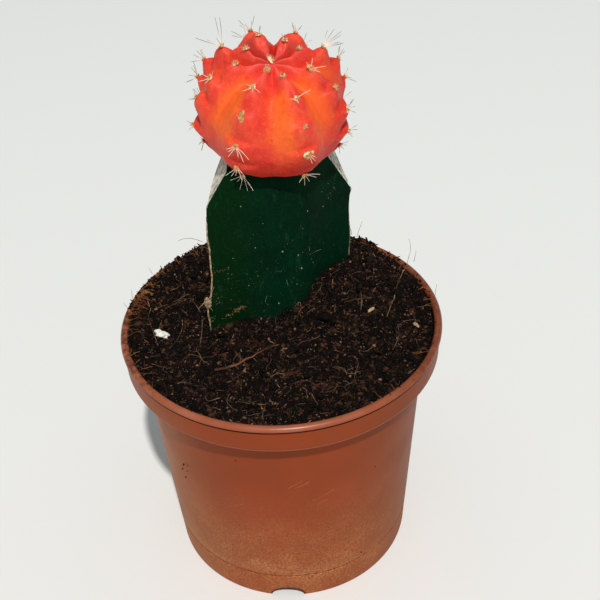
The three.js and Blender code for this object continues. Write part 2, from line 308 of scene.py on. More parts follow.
def cutFlat(bm, place, facing):
    # Cuts off what lies beyond a plane, and returns the faces that close the cut
    cut = bmesh.ops.bisect_plane(
        bm, geom=bm.verts[:] + bm.edges[:] + bm.faces[:], dist=0.0001,
        plane_co=place, plane_no=facing, clear_outer=True,
    )
    edges = [item for item in cut["geom_cut"] if isinstance(item, bmesh.types.BMEdge)]
    return bmesh.ops.holes_fill(bm, edges=edges, sides=0)["faces"]


def roundCorners(corners, steps=4):
    # Corners are radius, height and how far from the corner its rounding starts
    outline = []
    for index, (x, y, size) in enumerate(corners):
        if size == 0:
            outline.append((x, y))
            continue
        corner = Vector((x, y))
        before = Vector(corners[index - 1][:2]) - corner
        after = Vector(corners[index + 1][:2]) - corner
        start = corner + before.normalized() * size
        end = corner + after.normalized() * size
        for step in range(steps + 1):
            share = step / steps
            point = start.lerp(corner, share).lerp(corner.lerp(end, share), share)
            outline.append(tuple(point))
    return outline


def addStrands(bm, strands, sides, smoothness=3):
    # Thin closed tubes along smooth routes, each with its own radius at every point
    curve = bpy.data.curves.new("strands", "CURVE")
    curve.dimensions = "3D"
    curve.bevel_depth = 1.0
    curve.bevel_resolution = sides // 2 - 2
    curve.use_fill_caps = True
    curve.resolution_u = smoothness
    for points, radii in strands:
        spline = curve.splines.new("NURBS")
        spline.points.add(len(points) - 1)
        for knot, point, radius in zip(spline.points, points, radii):
            knot.co = (*point, 1.0)
            knot.radius = radius
        spline.order_u = min(3, len(points))
        spline.use_endpoint_u = True
    holder = addObject("strands", curve)
    depsgraph = bpy.context.evaluated_depsgraph_get()
    mesh = bpy.data.meshes.new_from_object(holder.evaluated_get(depsgraph))
    bm.from_mesh(mesh)
    bpy.data.meshes.remove(mesh)
    bpy.data.objects.remove(holder)
    bpy.data.curves.remove(curve)


# Nursery pot

pot = {
    "height": 78.1,
    "lipRadius": 45.0,
    "lipInner": 42.8,
    "lipCentre": 77.0,
    "collarTopRadius": 44.6,
    "collarBottomRadius": 44.3,
    "collarBottom": 69.6,
    "wallTopRadius": 40.0,
    "wallTop": 68.0,
    "grooveRadius": 36.2,
    "grooveHeight": 9.6,
    "grooveDepth": 0.4,
    "lineBelowLip": 0.62,  # how far below the lip's middle its line is
    "lineDepth": 0.65,
    "footRadius": 35.6,
    "footInner": 32.4,
    "baseRing": 24.0,  # a ring of the flat base, between the drain holes and the foot
    "recess": 2.4,
    "wall": 1.3,
    "steps": 288,
    "lipSteps": 18,
}
footNotch = {"count": 3, "width": 9.6, "height": 3.7, "length": 4.6, "bearing": -4, "sides": 64}
drainHole = {"count": 6, "radius": 3.0, "ringRadius": 22.0, "length": 8.0, "sides": 32}


def wallRadius(height):
    share = (height - pot["grooveHeight"]) / (pot["wallTop"] - pot["grooveHeight"])
    return lerp(pot["grooveRadius"], pot["wallTopRadius"], share)


def innerWallRadius(height):
    return wallRadius(height) - pot["wall"]


def potOutline():
    grooveTop = pot["grooveHeight"] + 0.5
    lip = pot["lipCentre"]
    base = pot["recess"] + pot["wall"]
    outer = roundCorners([
        (0, pot["recess"], 0),
        (pot["baseRing"], pot["recess"], 0),
        (pot["footInner"] - 1.0, pot["recess"], 0.5),
        (pot["footInner"], 0, 0.5),
        (pot["footRadius"], 0, 0.5),
        (pot["footRadius"] + 0.15, 2.4, 0),
        (pot["footRadius"] + 0.28, 4.6, 0),
        (pot["grooveRadius"] - 0.02, pot["grooveHeight"] - 0.45, 0.15),
        (pot["grooveRadius"] - pot["grooveDepth"], pot["grooveHeight"], 0.1),
        (pot["grooveRadius"] + 0.05, grooveTop, 0.2),
        (pot["wallTopRadius"], pot["wallTop"], 1.2),
        (pot["wallTopRadius"] + 0.35, pot["collarBottom"] - 0.15, 0.7),
        (pot["collarBottomRadius"] - 0.7, pot["collarBottom"] - 0.1, 0.2),
        (pot["collarBottomRadius"], pot["collarBottom"] + 0.05, 0.45),
        (pot["collarTopRadius"] - 0.08, lip - 1.9, 0),
        (pot["collarTopRadius"], lip - 0.95, 0.15),
        (pot["collarTopRadius"] - pot["lineDepth"], lip - pot["lineBelowLip"], 0.1),
        (pot["lipRadius"] - 0.15, lip - 0.32, 0.15),
        (pot["lipRadius"], lip, 0),
    ])
    top = []
    lipMiddle = (pot["lipRadius"] + pot["lipInner"]) / 2
    for step in range(1, pot["lipSteps"]):
        turn = math.pi * step / pot["lipSteps"]
        top.append((
            lipMiddle + (pot["lipRadius"] - lipMiddle) * math.cos(turn),
            lip + (pot["height"] - lip) * math.sin(turn),
        ))
    inner = roundCorners([
        (pot["lipInner"], lip, 0),
        (pot["lipInner"] - 0.1, pot["collarBottom"] + 1.6, 0.5),
        (innerWallRadius(pot["wallTop"]), pot["wallTop"] + 0.9, 0.5),
        (innerWallRadius(pot["grooveHeight"]), pot["grooveHeight"], 0),
        (innerWallRadius(base) - 0.4, base, 0.4),
        (pot["baseRing"], base, 0),
        (0, base, 0),
    ])
    return outer + top + inner


def punchOut(bm, opening, place):
    # A cylinder of radius 1 and depth 1, brought to its place
    bmesh.ops.create_cone(
        bm, cap_ends=True, segments=opening["sides"], radius1=1, radius2=1, depth=1, matrix=place,
    )


def cutOpenings(mesh):
    body = addObject("potBody", mesh)
    punch = bmesh.new()
    ringMiddle = (pot["footInner"] + pot["footRadius"]) / 2
    for index in range(footNotch["count"]):
        turn = turnBy(footNotch["bearing"] + 360 * index / footNotch["count"])
        size = Matrix.Diagonal((footNotch["width"] / 2, footNotch["length"], footNotch["height"], 1))
        place = turn @ Matrix.Translation((0, -ringMiddle, 0)) @ size
        punchOut(punch, footNotch, place @ turnBy(90, "X"))
    for index in range(drainHole["count"]):
        turn = turnBy(360 * (index + 0.5) / drainHole["count"])
        size = Matrix.Diagonal((drainHole["radius"], drainHole["radius"], drainHole["length"], 1))
        place = turn @ Matrix.Translation((0, drainHole["ringRadius"], pot["recess"]))
        punchOut(punch, drainHole, place @ size)
    bmesh.ops.recalc_face_normals(punch, faces=punch.faces)
    cutter = addObject("punch", meshInMetres("punch", punch))
    cut = body.modifiers.new("openings", "BOOLEAN")
    cut.operation = "DIFFERENCE"
    cut.solver = "EXACT"
    cut.object = cutter
    depsgraph = bpy.context.evaluated_depsgraph_get()
    finished = bpy.data.meshes.new_from_object(body.evaluated_get(depsgraph))
    for helper in (body, cutter):
        bpy.data.objects.remove(helper)
    return finished


def potPlastic():
    material, tree, shader = startMaterial("potPlastic")
    place = objectPlace(tree)
    aside, back, height = axes(tree, place)
    mottled = blotches(tree, place, (14, 4), 0.35, 0.7)
    colour = blend(tree, mottled, paint(146, 62, 28), paint(138, 62, 29))
    # Ochre dust low on the wall, ending in a wavy tide line above the foot groove
    wavyHeight = plus(tree, height, times(tree, cloud(tree, place, 22, 3, 0.6), 0.022))
    lowDust = ramp(tree, wavyHeight, 0.062, 0.024)
    aboveFoot = ramp(tree, height, 0.0086, 0.0106, 0.92, 1.0)
    patches = blotches(tree, place, (9, 5, 0.62), 0.3, 0.72, 0.45, 1.0)
    grains = blotches(tree, place, (0.6, 4, 0.7), 0.38, 0.66, 0.12, 1.0)
    dust = times(tree, lowDust, aboveFoot, patches, grains)
    colour = layer(tree, colour, (188, 130, 82), dust, 0.82)
    tide = band(tree, wavyHeight, 0.0175, 0.0215, 0.0225, 0.0275)
    colour = layer(tree, colour, (200, 146, 100), tide, grains, 0.3)
    # A thin ochre dust film and a painted grazing sheen at both sides of the wall, fainter on the collar
    offMiddle = apart(tree, aside, -0.002)
    filmAndSheenSides = ramp(tree, offMiddle, 0.016, 0.038)
    onWall = ramp(tree, height, 0.0685, 0.06, 0.5, 1.0)
    onLeft = ramp(tree, aside, 0.01, -0.01, 0.12, 0.5)
    colour = layer(tree, colour, (184, 122, 56), filmAndSheenSides, onWall, patches, onLeft)
    # A paler lip, partly dust and partly a painted highlight, with grime at both sides
    colour = layer(tree, colour, (214, 150, 124), ramp(tree, height, 0.0768, 0.0776), patches, 0.24)
    grimy = blotches(tree, place, (2.6, 5, 0.75), 0.38, 0.58)
    grimySides = ramp(tree, offMiddle, 0.026, 0.04)
    grimyLeft = ramp(tree, aside, 0.0, -0.02, 0.6, 0.85)
    grimyLip = times(tree, grimy, grimySides, ramp(tree, height, 0.0762, 0.077), grimyLeft)
    colour = layer(tree, colour, (66, 32, 22), grimyLip)
    # Painted shade: the right side is a little darker
    colour = layer(tree, colour, (108, 50, 10), ramp(tree, aside, 0.01, 0.038), 0.48)
    # Long thin scuffs round the wall, and dark specks
    scuffPlace = objectPlace(tree, scale=(1, 1, 5), turn=(0, 14, 0))
    scuffs = blotches(tree, scuffPlace, (2.6, 6, 0.7, 1.4), 0.66, 0.74)
    scuffZone = blotches(tree, place, (17, 2), 0.52, 0.68)
    colour = layer(tree, colour, (196, 138, 104), scuffs, scuffZone, 0.3)
    colour = layer(tree, colour, (66, 34, 22), specks(tree, place, 3.6, 0.055, 0.022), 0.75)
    # Painted shade just under the collar, a painted highlight along its lower edge, and painted shade in the
    # two grooves
    colour = layer(tree, colour, (62, 22, 12), band(tree, height, 0.0655, 0.0686, 0.0692, 0.0708), 0.9)
    colour = layer(tree, colour, (196, 116, 84), band(tree, height, 0.0696, 0.0698, 0.07, 0.0704), 0.4)
    colour = layer(tree, colour, (60, 16, 6), grooveShade(tree, height, place))
    # Painted shade: a dark edge round the arch of the front notch. Its half width and its height count as 1
    archPlace = objectPlace(
        tree, scale=(2 / (footNotch["width"] * mm), 0, 1 / (footNotch["height"] * mm)), shift=(0.5, 0, 0),
    )
    fromArch = addNode(tree, "ShaderNodeVectorMath", operation="LENGTH")
    tree.links.new(archPlace, fromArch.inputs[0])
    archShade = ramp(tree, fromArch.outputs["Value"], 1.13, 1.06)
    colour = layer(tree, colour, (44, 20, 12), archShade, ramp(tree, back, -0.02, -0.03), 0.85)
    onLip = ramp(tree, height, 0.0766, 0.0774)
    rough = plus(tree, times(tree, dust, 0.25), 0.4, times(tree, mottled, 0.06))
    fine = relief(tree, cloud(tree, place, 0.45, 3), 0.03, 0.5)
    uneven = cloud(tree, objectPlace(tree, scale=(1, 1, 0.3)), 6, 2)
    setInputs(tree, shader, {
        "Base Color": colour,
        "Roughness": combine(tree, "SUBTRACT", rough, times(tree, onLip, 0.12)),
        "Specular IOR Level": plus(tree, times(tree, onLip, 0.5), 0.2),
        "IOR": 1.3,
        "Normal": relief(tree, uneven, 0.12, 0.5, fine),
    })
    return material


def grooveShade(tree, height, place):
    # Painted shade: strong in the line under the lip, broken into dots in the foot groove
    lipLine = (pot["lipCentre"] - pot["lineBelowLip"]) * mm
    footLine = pot["grooveHeight"] * mm
    underLip = ramp(tree, apart(tree, height, lipLine), 0.00048, 0.00026)
    inGroove = ramp(tree, apart(tree, height, footLine), 0.0003, 0.0001)
    broken = blotches(tree, place, (1.5, 2), 0.42, 0.6, 0.2, 0.9)
    return combine(tree, "MAXIMUM", underLip, times(tree, inGroove, broken))


def dryFinish(name, dark, light, texture, limits, grain, rough):
    # For cork, stone and dried marks. Grain is the size of its bumps
    material, tree, shader = startMaterial(name)
    place = objectPlace(tree)
    setInputs(tree, shader, {
        "Base Color": blend(tree, blotches(tree, place, texture, *limits), paint(*dark), paint(*light)),
        "Roughness": rough,
        "Normal": relief(tree, cloud(tree, place, grain, 4), 0.15, 0.8),
    })
    return material


def makePot():
    mesh = cutOpenings(meshInMetres("plasticPot", spunBody(potOutline(), pot["steps"])))
    placeMesh("plasticPot", mesh, [potPlastic()], ["nursery_pot"], 50)


# Scratches and dark specks on the wall: bearings in degrees from the front, towards +X
wallScratches = [
    [(-0.5, 50.2), (2.5, 51.4), (5.5, 52.8)],
    [(2, 50), (5, 50.6), (8, 52)],
    [(9, 43.8), (13, 44.8), (18.5, 46.6)],
    [(11, 41.8), (15.5, 43.2)],
    [(-24, 40.2), (-20, 41.8)],
]
wallSpecks = [
    (-49, 47.5, 0.36), (-47.5, 45.4, 0.22), (-51, 44.6, 0.3), (-50, 41.6, 0.3), (-46, 48.6, 0.2),
    (38, 48, 0.2), (24, 17, 0.22), (-20, 60, 0.18), (33, 12, 0.26),
]


def wallPoint(bearing, height):
    radius = wallRadius(height)
    turn = math.radians(bearing)
    return Vector((radius * math.sin(turn), -radius * math.cos(turn), height))


def makeWallMarks():
    bm = bmesh.new()
    strands = []
    for route in wallScratches:
        points = [wallPoint(bearing, height) for bearing, height in route]
        strands.append((points, [0.07] + [0.12] * (len(points) - 1)))
    addStrands(bm, strands, 4, 4)
    finishPiece("wallScratches", bm, [dryPlastic("scratchedPlastic", (186, 112, 74))])
    bm = bmesh.new()
    for bearing, height, radius in wallSpecks:
        place = Matrix.Translation(wallPoint(bearing, height))
        bmesh.ops.create_icosphere(bm, subdivisions=2, radius=radius, matrix=place)
    for vert in bm.verts:
        vert.co += Vector([ripple(vert.co, 0.5, shift) for shift in (0, 3, 6)]) * 0.1
    finishPiece("wallSpecks", bm, [dryPlastic("darkSpeck", (92, 36, 18))])


def dryPlastic(name, shade):
    material, tree, shader = startMaterial(name)
    patchy = blotches(tree, objectPlace(tree), (0.8, 4, 0.7), 0.35, 0.65)
    darker = paint(*[part * 0.8 for part in shade])
    setInputs(tree, shader, {
        "Base Color": blend(tree, patchy, darker, paint(*shade)),
        "Roughness": 0.8,
        "Specular IOR Level": 0.1,
        "Normal": relief(tree, patchy, 0.04, 0.5),
    })
    return material


makePot()
makeWallMarks()
print("pot made")


# Rootstock

stem = {
    "soilLevel": 77.0,
    "top": 123.7,
    "bottom": 55.0,
    "taperHeight": 15.0,
    "taperTo": 0.55,
    "bulge": 0.38,
    "stepsPerFace": 44,
    "along": 120,
    "ripples": [(0.22, 9, 0), (0.088, 3, 0)],  # height, width and shift of each
    "ribReach": 0.9,  # what lies this near a rib's edge is smoothed
}
# Middle and the ends of the three ribs, at soil level and at the graft
stemLow = {"centre": (-4, 13), "ribs": [(-19.8, -2), (20.8, 26), (-9, 33)]}
stemHigh = {"centre": (0, 13.5), "ribs": [(-16.7, 2), (21.4, 17), (-6, 30)]}
# How far each rib's edge stands out beyond a straight line, at heights from the soil up
ribWaves = [
    [(76, 0), (79, 0.3), (82, 0.8), (84.5, 0.5), (87, -0.6), (93, -0.9), (97, -0.6), (101, -0.4), (106, 0.3)],
    [(76, 0), (88, 0.2), (96, -0.1), (103.5, 0), (107.5, 0.9)],
    [(76, 0.3), (90, -0.3), (104, 0.2)],
]
ribWaveWidth = 0.22  # of a face
# Each shoulder cut: a point on its face and the way the face looks
shoulderCuts = [
    ((-12.3, 2.8, 122.5), (-0.84, 0.03, 0.54)),
    ((15.8, 20.3, 121.6), (0.926, -0.139, 0.351)),
    ((-4, 25.6, 123.9), (-0.12, 0.86, 0.5)),
]


def outlinePoint(section, face, along):
    middle = Vector(section["centre"])
    first = Vector(section["ribs"][face]) - middle
    second = Vector(section["ribs"][(face + 1) % 3]) - middle
    startAngle = math.atan2(first.y, first.x)
    span = (math.atan2(second.y, second.x) - startAngle) % (2 * math.pi)
    turn = span * (1 - math.cos(math.pi * along)) / 2
    spread = first.length * math.sin(turn) + second.length * math.sin(span - turn)
    flat = first.length * second.length * math.sin(span) / spread
    rounded = lerp(first.length, second.length, turn / span)
    reach = lerp(flat, rounded, stem["bulge"])
    angle = startAngle + turn
    return middle + Vector((math.cos(angle), math.sin(angle))) * reach


def stemUp(height):
    return clamp((height - stem["soilLevel"]) / (stem["top"] - stem["soilLevel"]))


def stemOutline(up, place):
    # Place runs from 0 to 3 round the stem, and whole numbers are its ribs
    third = place % 3
    face = int(third)
    low = outlinePoint(stemLow, face, third - face)
    return low.lerp(outlinePoint(stemHigh, face, third - face), up)


def stemCentre(up):
    return Vector(stemLow["centre"]).lerp(Vector(stemHigh["centre"]), up)


def ribWave(rib, height):
    knots = ribWaves[rib]
    if height <= knots[0][0]:
        return knots[0][1]
    for (low, lowOut), (high, highOut) in zip(knots, knots[1:]):
        if height <= high:
            return lerp(lowOut, highOut, smoothstep(low, high, height))
    return knots[-1][1]


def skinPoint(height, place):
    # A point on the stem's skin: whole numbers of place are its ribs
    up = stemUp(height)
    skin = stemOutline(up, place)
    sunk = clamp((height - stem["bottom"]) / stem["taperHeight"])
    middle = stemCentre(up)
    outward = (skin - middle) * lerp(stem["taperTo"], 1, sunk)
    offRib = abs(place - round(place)) / ribWaveWidth
    edge = max(0, 1 - offRib) ** 2 * ribWave(round(place) % 3, height)
    outward += outward.normalized() * (ripples((skin.x, skin.y, height), stem["ripples"]) + edge)
    return Vector((middle.x + outward.x, middle.y + outward.y, height))


def bendStem(bm):
    around = 3 * stem["stepsPerFace"]
    for vert in bm.verts:
        column = round((math.atan2(vert.co.y, vert.co.x) / (2 * math.pi) % 1) * around)
        vert.co = skinPoint(vert.co.z, column / stem["stepsPerFace"])


def cutShoulder(bm, place, facing):
    # Inside a narrow green rim the cut is dry and sunk
    filled = cutFlat(bm, place, facing)
    bmesh.ops.inset_region(bm, faces=filled, thickness=0.16, depth=0.0, use_even_offset=False)
    for face in filled:
        face.material_index = 1
    bmesh.ops.inset_region(bm, faces=filled, thickness=0.25, depth=-0.16, use_even_offset=False)
    fan = bmesh.ops.poke(bm, faces=filled)["faces"]
    inside = {edge for face in fan for edge in face.edges if all(f in fan for f in edge.link_faces)}
    cuts = bmesh.ops.subdivide_edges(bm, edges=list(inside), cuts=9)
    normal = Vector(facing).normalized()
    inner = {item for item in cuts["geom_inner"] if isinstance(item, bmesh.types.BMVert)}
    for vert in inner:
        vert.co += normal * ripples(stretch(vert.co, (1, 1, 0.4)), [(0.2, 1.6, 0), (0.12, 0.7, 5)])


def stemSkin():
    material, tree, shader = startMaterial("rootstockSkin")
    place = objectPlace(tree)
    aside, _, height = axes(tree, place)
    patches = blotches(tree, place, (8, 4, 0.6), 0.35, 0.68)
    colour = blend(tree, patches, paint(4, 32, 18), paint(6, 39, 21))
    colour = layer(tree, colour, (8, 37, 12), ramp(tree, aside, -0.002, -0.014), 0.8)
    # Painted highlight: paler green low on the right of the front face
    right = ramp(tree, aside, -0.012, 0.008)
    low = ramp(tree, height, 0.106, 0.084)
    colour = layer(tree, colour, (3, 44, 28), right, low, 0.8)
    # Painted reflections of the sky: pale vertical streaks and smears
    streaks = blotches(tree, objectPlace(tree, scale=(1, 1, 0.16)), (1.1, 4, 0.6), 0.55, 0.8)
    colour = layer(tree, colour, (22, 72, 46), streaks, 0.3)
    glintSmears = blotches(tree, objectPlace(tree, scale=(1, 1, 0.5)), (3.4, 5, 0.7, 0.6), 0.56, 0.76)
    colour = layer(tree, colour, (32, 84, 62), glintSmears, 0.42)
    # Small pale pores, and dusty scuffs that lie thicker near the soil
    colour = layer(tree, colour, (74, 112, 76), specks(tree, place, 2.7, 0.17, 0.06), 0.55)
    mottles = blotches(tree, place, (0.7, 5, 0.7), 0.5, 0.72)
    colour = layer(tree, colour, (16, 62, 34), mottles, 0.42)
    dustSpots = blotches(tree, place, (0.9, 4, 0.7), 0.56, 0.7)
    dustZone = blotches(tree, place, (7, 2), 0.42, 0.62)
    dust = times(tree, ramp(tree, height, 0.094, 0.077), dustSpots, dustZone)
    colour = layer(tree, colour, (84, 66, 44), dust, 0.8)
    skinBump = relief(tree, cloud(tree, place, 1.2, 4), 0.06, 0.4)
    setInputs(tree, shader, {
        "Base Color": colour,
        "Roughness": plus(tree, times(tree, patches, 0.1), 0.6, times(tree, dust, 0.3)),
        "Specular IOR Level": 0.02,
        "Normal": relief(tree, streaks, 0.05, 0.4, skinBump),
    })
    return material


def callus():
    material, tree, shader = startMaterial("driedCut")
    streaks = blotches(tree, objectPlace(tree, scale=(1, 1, 0.3)), (1.3, 5, 0.65), 0.3, 0.72)
    colour = blend(tree, streaks, paint(174, 168, 144), paint(246, 244, 232))
    # Olive brown stains, stronger on the right
    stains = blotches(tree, objectPlace(tree, scale=(1, 1, 0.5)), (1.7, 5, 0.7), 0.5, 0.62)
    stained = ramp(tree, axes(tree, objectPlace(tree))[0], -0.005, 0.012, 0.5, 0.9)
    setInputs(tree, shader, {
        "Base Color": layer(tree, colour, (88, 76, 46), stains, stained),
        "Roughness": 0.85,
        "Normal": relief(tree, streaks, 0.2, 0.7),
    })
    return material


corkFinish = dryFinish("cork", (120, 92, 62), (206, 184, 146), (1.1, 5, 0.7), (0.35, 0.68), 0.5, 0.9)
# Corky line down a rib's edge: which rib, from and to which height, and its radius
ribMargins = [(0, 75.5, 112.0, 0.19), (1, 76.5, 98.0, 0.12), (2, 76.5, 96.0, 0.16)]
bud = {"height": 85.5, "size": (0.8, 1.1, 1.7), "out": 0.6}
# A wisp from the bud that reaches across the front face, and two short roots: the middle and the
# tip of each, seen from its start, and its radii
budWisps = [
    ((1.4, -0.8, 1.4), (2.6, 0.2, 4.6), [0.1, 0.08, 0.04]),
    ((-1.2, -0.9, -0.4), (-2.2, -1.4, -1.6), [0.1, 0.07, 0.04]),
    ((0.6, -1.2, -0.6), (1.6, -1.4, -2.2), [0.08, 0.06, 0.04]),
]


def makeStem():
    heights = [lerp(stem["bottom"], stem["top"], step / stem["along"]) for step in range(stem["along"] + 1)]
    bm = spinLine([(1, 0, height) for height in heights], 3 * stem["stepsPerFace"])
    bendStem(bm)
    bmesh.ops.holes_fill(bm, edges=bm.edges, sides=0)
    ribVerts = [vert for vert in bm.verts if len(vert.link_faces) == 4 and isOnRib(vert)]
    for _ in range(3):
        bmesh.ops.smooth_vert(bm, verts=ribVerts, factor=0.35, use_axis_x=True, use_axis_y=True)
    bmesh.ops.recalc_face_normals(bm, faces=bm.faces)
    for place, facing in shoulderCuts:
        cutShoulder(bm, place, facing)
    bmesh.ops.recalc_face_normals(bm, faces=bm.faces)
    finishPiece("rootstockStem", bm, [stemSkin(), callus()], ["rootstock"], 32)


def isOnRib(vert):
    corners = [stemOutline(stemUp(vert.co.z), rib) for rib in range(3)]
    return any((vert.co.to_2d() - corner).length < stem["ribReach"] for corner in corners)


def makeMargins():
    strands = []
    for rib, low, high, radius in ribMargins:
        steps = 40
        points = []
        radii = []
        for step in range(steps + 1):
            height = lerp(low, high, step / steps)
            points.append(skinPoint(height, rib))
            ends = smoothstep(0, 3, step) * smoothstep(0, 5, steps - step)
            radii.append(radius * (0.25 + ends * (0.9 + 0.8 * ripple((0, rib * 9, height), 1.6))))
        strands.append((points, radii))
    bm = bmesh.new()
    addStrands(bm, strands, 8, 4)
    finishPiece("ribMargins", bm, [corkFinish])


def makeBud():
    corner = skinPoint(bud["height"], 0)
    away = (corner.to_2d() - stemCentre(stemUp(bud["height"]))).normalized().to_3d()
    turn = Matrix.Rotation(math.atan2(away.y, away.x), 4, "Z")
    bm = bmesh.new()
    bmesh.ops.create_icosphere(bm, subdivisions=4, radius=1.0)
    for vert in bm.verts:
        scales = 1 + ripples(vert.co, [(0.4, 0.6, 0), (0.2, 0.25, 3)])
        vert.co = stretch(vert.co * scales, bud["size"])
    bmesh.ops.transform(bm, matrix=Matrix.Translation(corner + away * bud["out"]) @ turn, verts=bm.verts)
    front = corner + away * 1.1 + Vector((0, 0, 1))
    wisps = []
    for middle, tip, radii in budWisps:
        wisps.append(([front, front + Vector(middle), front + Vector(tip)], radii))
    addStrands(bm, wisps, 6, 5)
    finishPiece("corkyBud", bm, [corkFinish], ["rootstock_bud"])


makeStem()
makeMargins()
makeBud()
print("rootstock made")


# Head

head = {
    "centre": (1.2, 13, 136),
    "size": (19.35, 19.35, 17.8),  # half its width, depth and height
    "base": 123.85,
    "leanFront": 17.5,
    "leanRight": 2.6,
    "furrowLow": 0.035,
    "furrowHigh": 0.15,
    "furrowRange": (-25, 55),
    "furrowTop": 0.38,
    "topRange": (30, 66),
    # From back to front a furrow grows softer, and shallower at its top. Both ranges are
    # cosines of the bearing
    "frontTop": 0.08,
    "frontDepth": (-0.75, 0.1),
    "frontShape": (-0.95, -0.6),
    "softPower": 3,
    "powerLow": 1.8,
    "powerHigh": 4.4,
    "powerRange": (20, 60),
    "crestWidth": 0.34,
    "crestPower": 1.2,
    "chin": 0.115,
    "chinRange": (-45, -15),
    "crownDip": 0.17,
    "dipRange": (52, 84),
    "crown": (72, 90),
    "ripples": [(0.24, 4.0, 0), (0.08, 1.4, 7)],
    "glowFade": 24,
    "around": 320,
    "along": 170,
}
# Each rib: its bearing from the front towards +X, how far it swells beyond the globe,
# how bold its chins are, and the latitudes of its areoles
ribs = [
    (-28, 0, 0.6, [80, 59, 37, 12, -11, -30]),
    (25.5, 0, 0.6, [71, 50, 29, 5, -25]),
    (71.5, 0, 0.9, [60, 38, 16, -6, -25]),
    (116, 0.04, 1, [68, 48, 28, 6, -17]),
    (155.5, 0, 1, [66, 44, 18, -6, -28]),
    (200.5, 0.02, 1, [62, 43, 24, 2, -21]),
    (244, 0.06, 1, [69, 50, 27, 7, -16]),
    (280, 0.02, 1, [63, 42, 22, -6, -26]),
]
headLean = turnBy(head["leanRight"], "Y") @ turnBy(head["leanFront"], "X")
headTurn = Matrix.Translation(head["centre"]) @ headLean


def chinShape(latitude, areoles):
    # 1 at each areole, falling to 0 in the notch above the next one down
    flat, notch, spacing = 0.14, 0.84, 23
    above = areoles[0] + spacing
    for below in areoles + [areoles[-1] - spacing]:
        if latitude >= below:
            down = clamp((above - latitude) / (above - below))
            if down < flat:
                return 1.0
            if down < notch:
                left = (notch - down) / (notch - flat)
                return 0.6 * smoothstep(0, 1, left) + 0.4 * left
            return (down - notch) / (1 - notch)
        above = below
    return 0.0


def bearingAt(place):
    # Place runs from 0 to 8 round the head: whole numbers are crests and halves are furrows
    turn = place % len(ribs)
    left = int(turn)
    following = ribs[0][0] + 360 if left == len(ribs) - 1 else ribs[left + 1][0]
    return lerp(ribs[left][0], following, turn - left)


def globePoint(latitude, bearing):
    up = math.radians(latitude)
    turn = math.radians(bearing)
    return Vector((math.cos(up) * math.sin(turn), -math.cos(up) * math.cos(turn), math.sin(up)))


def headPoint(latitude, place):
    off = abs(place - round(place))
    _, swell, bold, areoles = ribs[round(place) % len(ribs)]
    power = lerp(head["powerLow"], head["powerHigh"], smoothstep(*head["powerRange"], latitude))
    facing = math.cos(math.radians(bearingAt(place)))
    soft = math.sin(math.pi * off) ** head["softPower"]
    furrow = lerp((2 * off) ** power, soft, smoothstep(*head["frontShape"], facing))
    crest = max(0, 1 - off / head["crestWidth"]) ** head["crestPower"]
    depth = lerp(head["furrowLow"], head["furrowHigh"], smoothstep(*head["furrowRange"], latitude))
    top = head["furrowTop"] * lerp(1, head["frontTop"], smoothstep(*head["frontDepth"], facing))
    depth += top * smoothstep(*head["topRange"], latitude)
    crown = smoothstep(*head["dipRange"], latitude)
    fade = 1 - smoothstep(*head["crown"], latitude)
    chinSize = head["chin"] * bold * fade * smoothstep(*head["chinRange"], latitude)
    scale = 1 + swell * crest * fade - depth * furrow * fade - head["crownDip"] * crown
    scale += chinSize * crest * (chinShape(latitude, areoles) - 0.5)
    return headTurn @ (stretch(globePoint(latitude, bearingAt(place)), head["size"]) * scale)


# The orange glow of each furrow, from the one after the first rib on: how far right of the
# furrow it lies, how strong it is, and the latitude where it ends
glows = [
    (0.16, 0.85, 73), (0.02, 1.0, 82), (0.08, 0.9, 60), (0.08, 0.7, 30),
    (0.08, 0.6, 24), (0.08, 0.7, 30), (0.08, 0.9, 56), (0.1, 1.15, 88),
]
headLayers = ("furrow", "glow", "rise", "chin")  # what the skin's colours follow


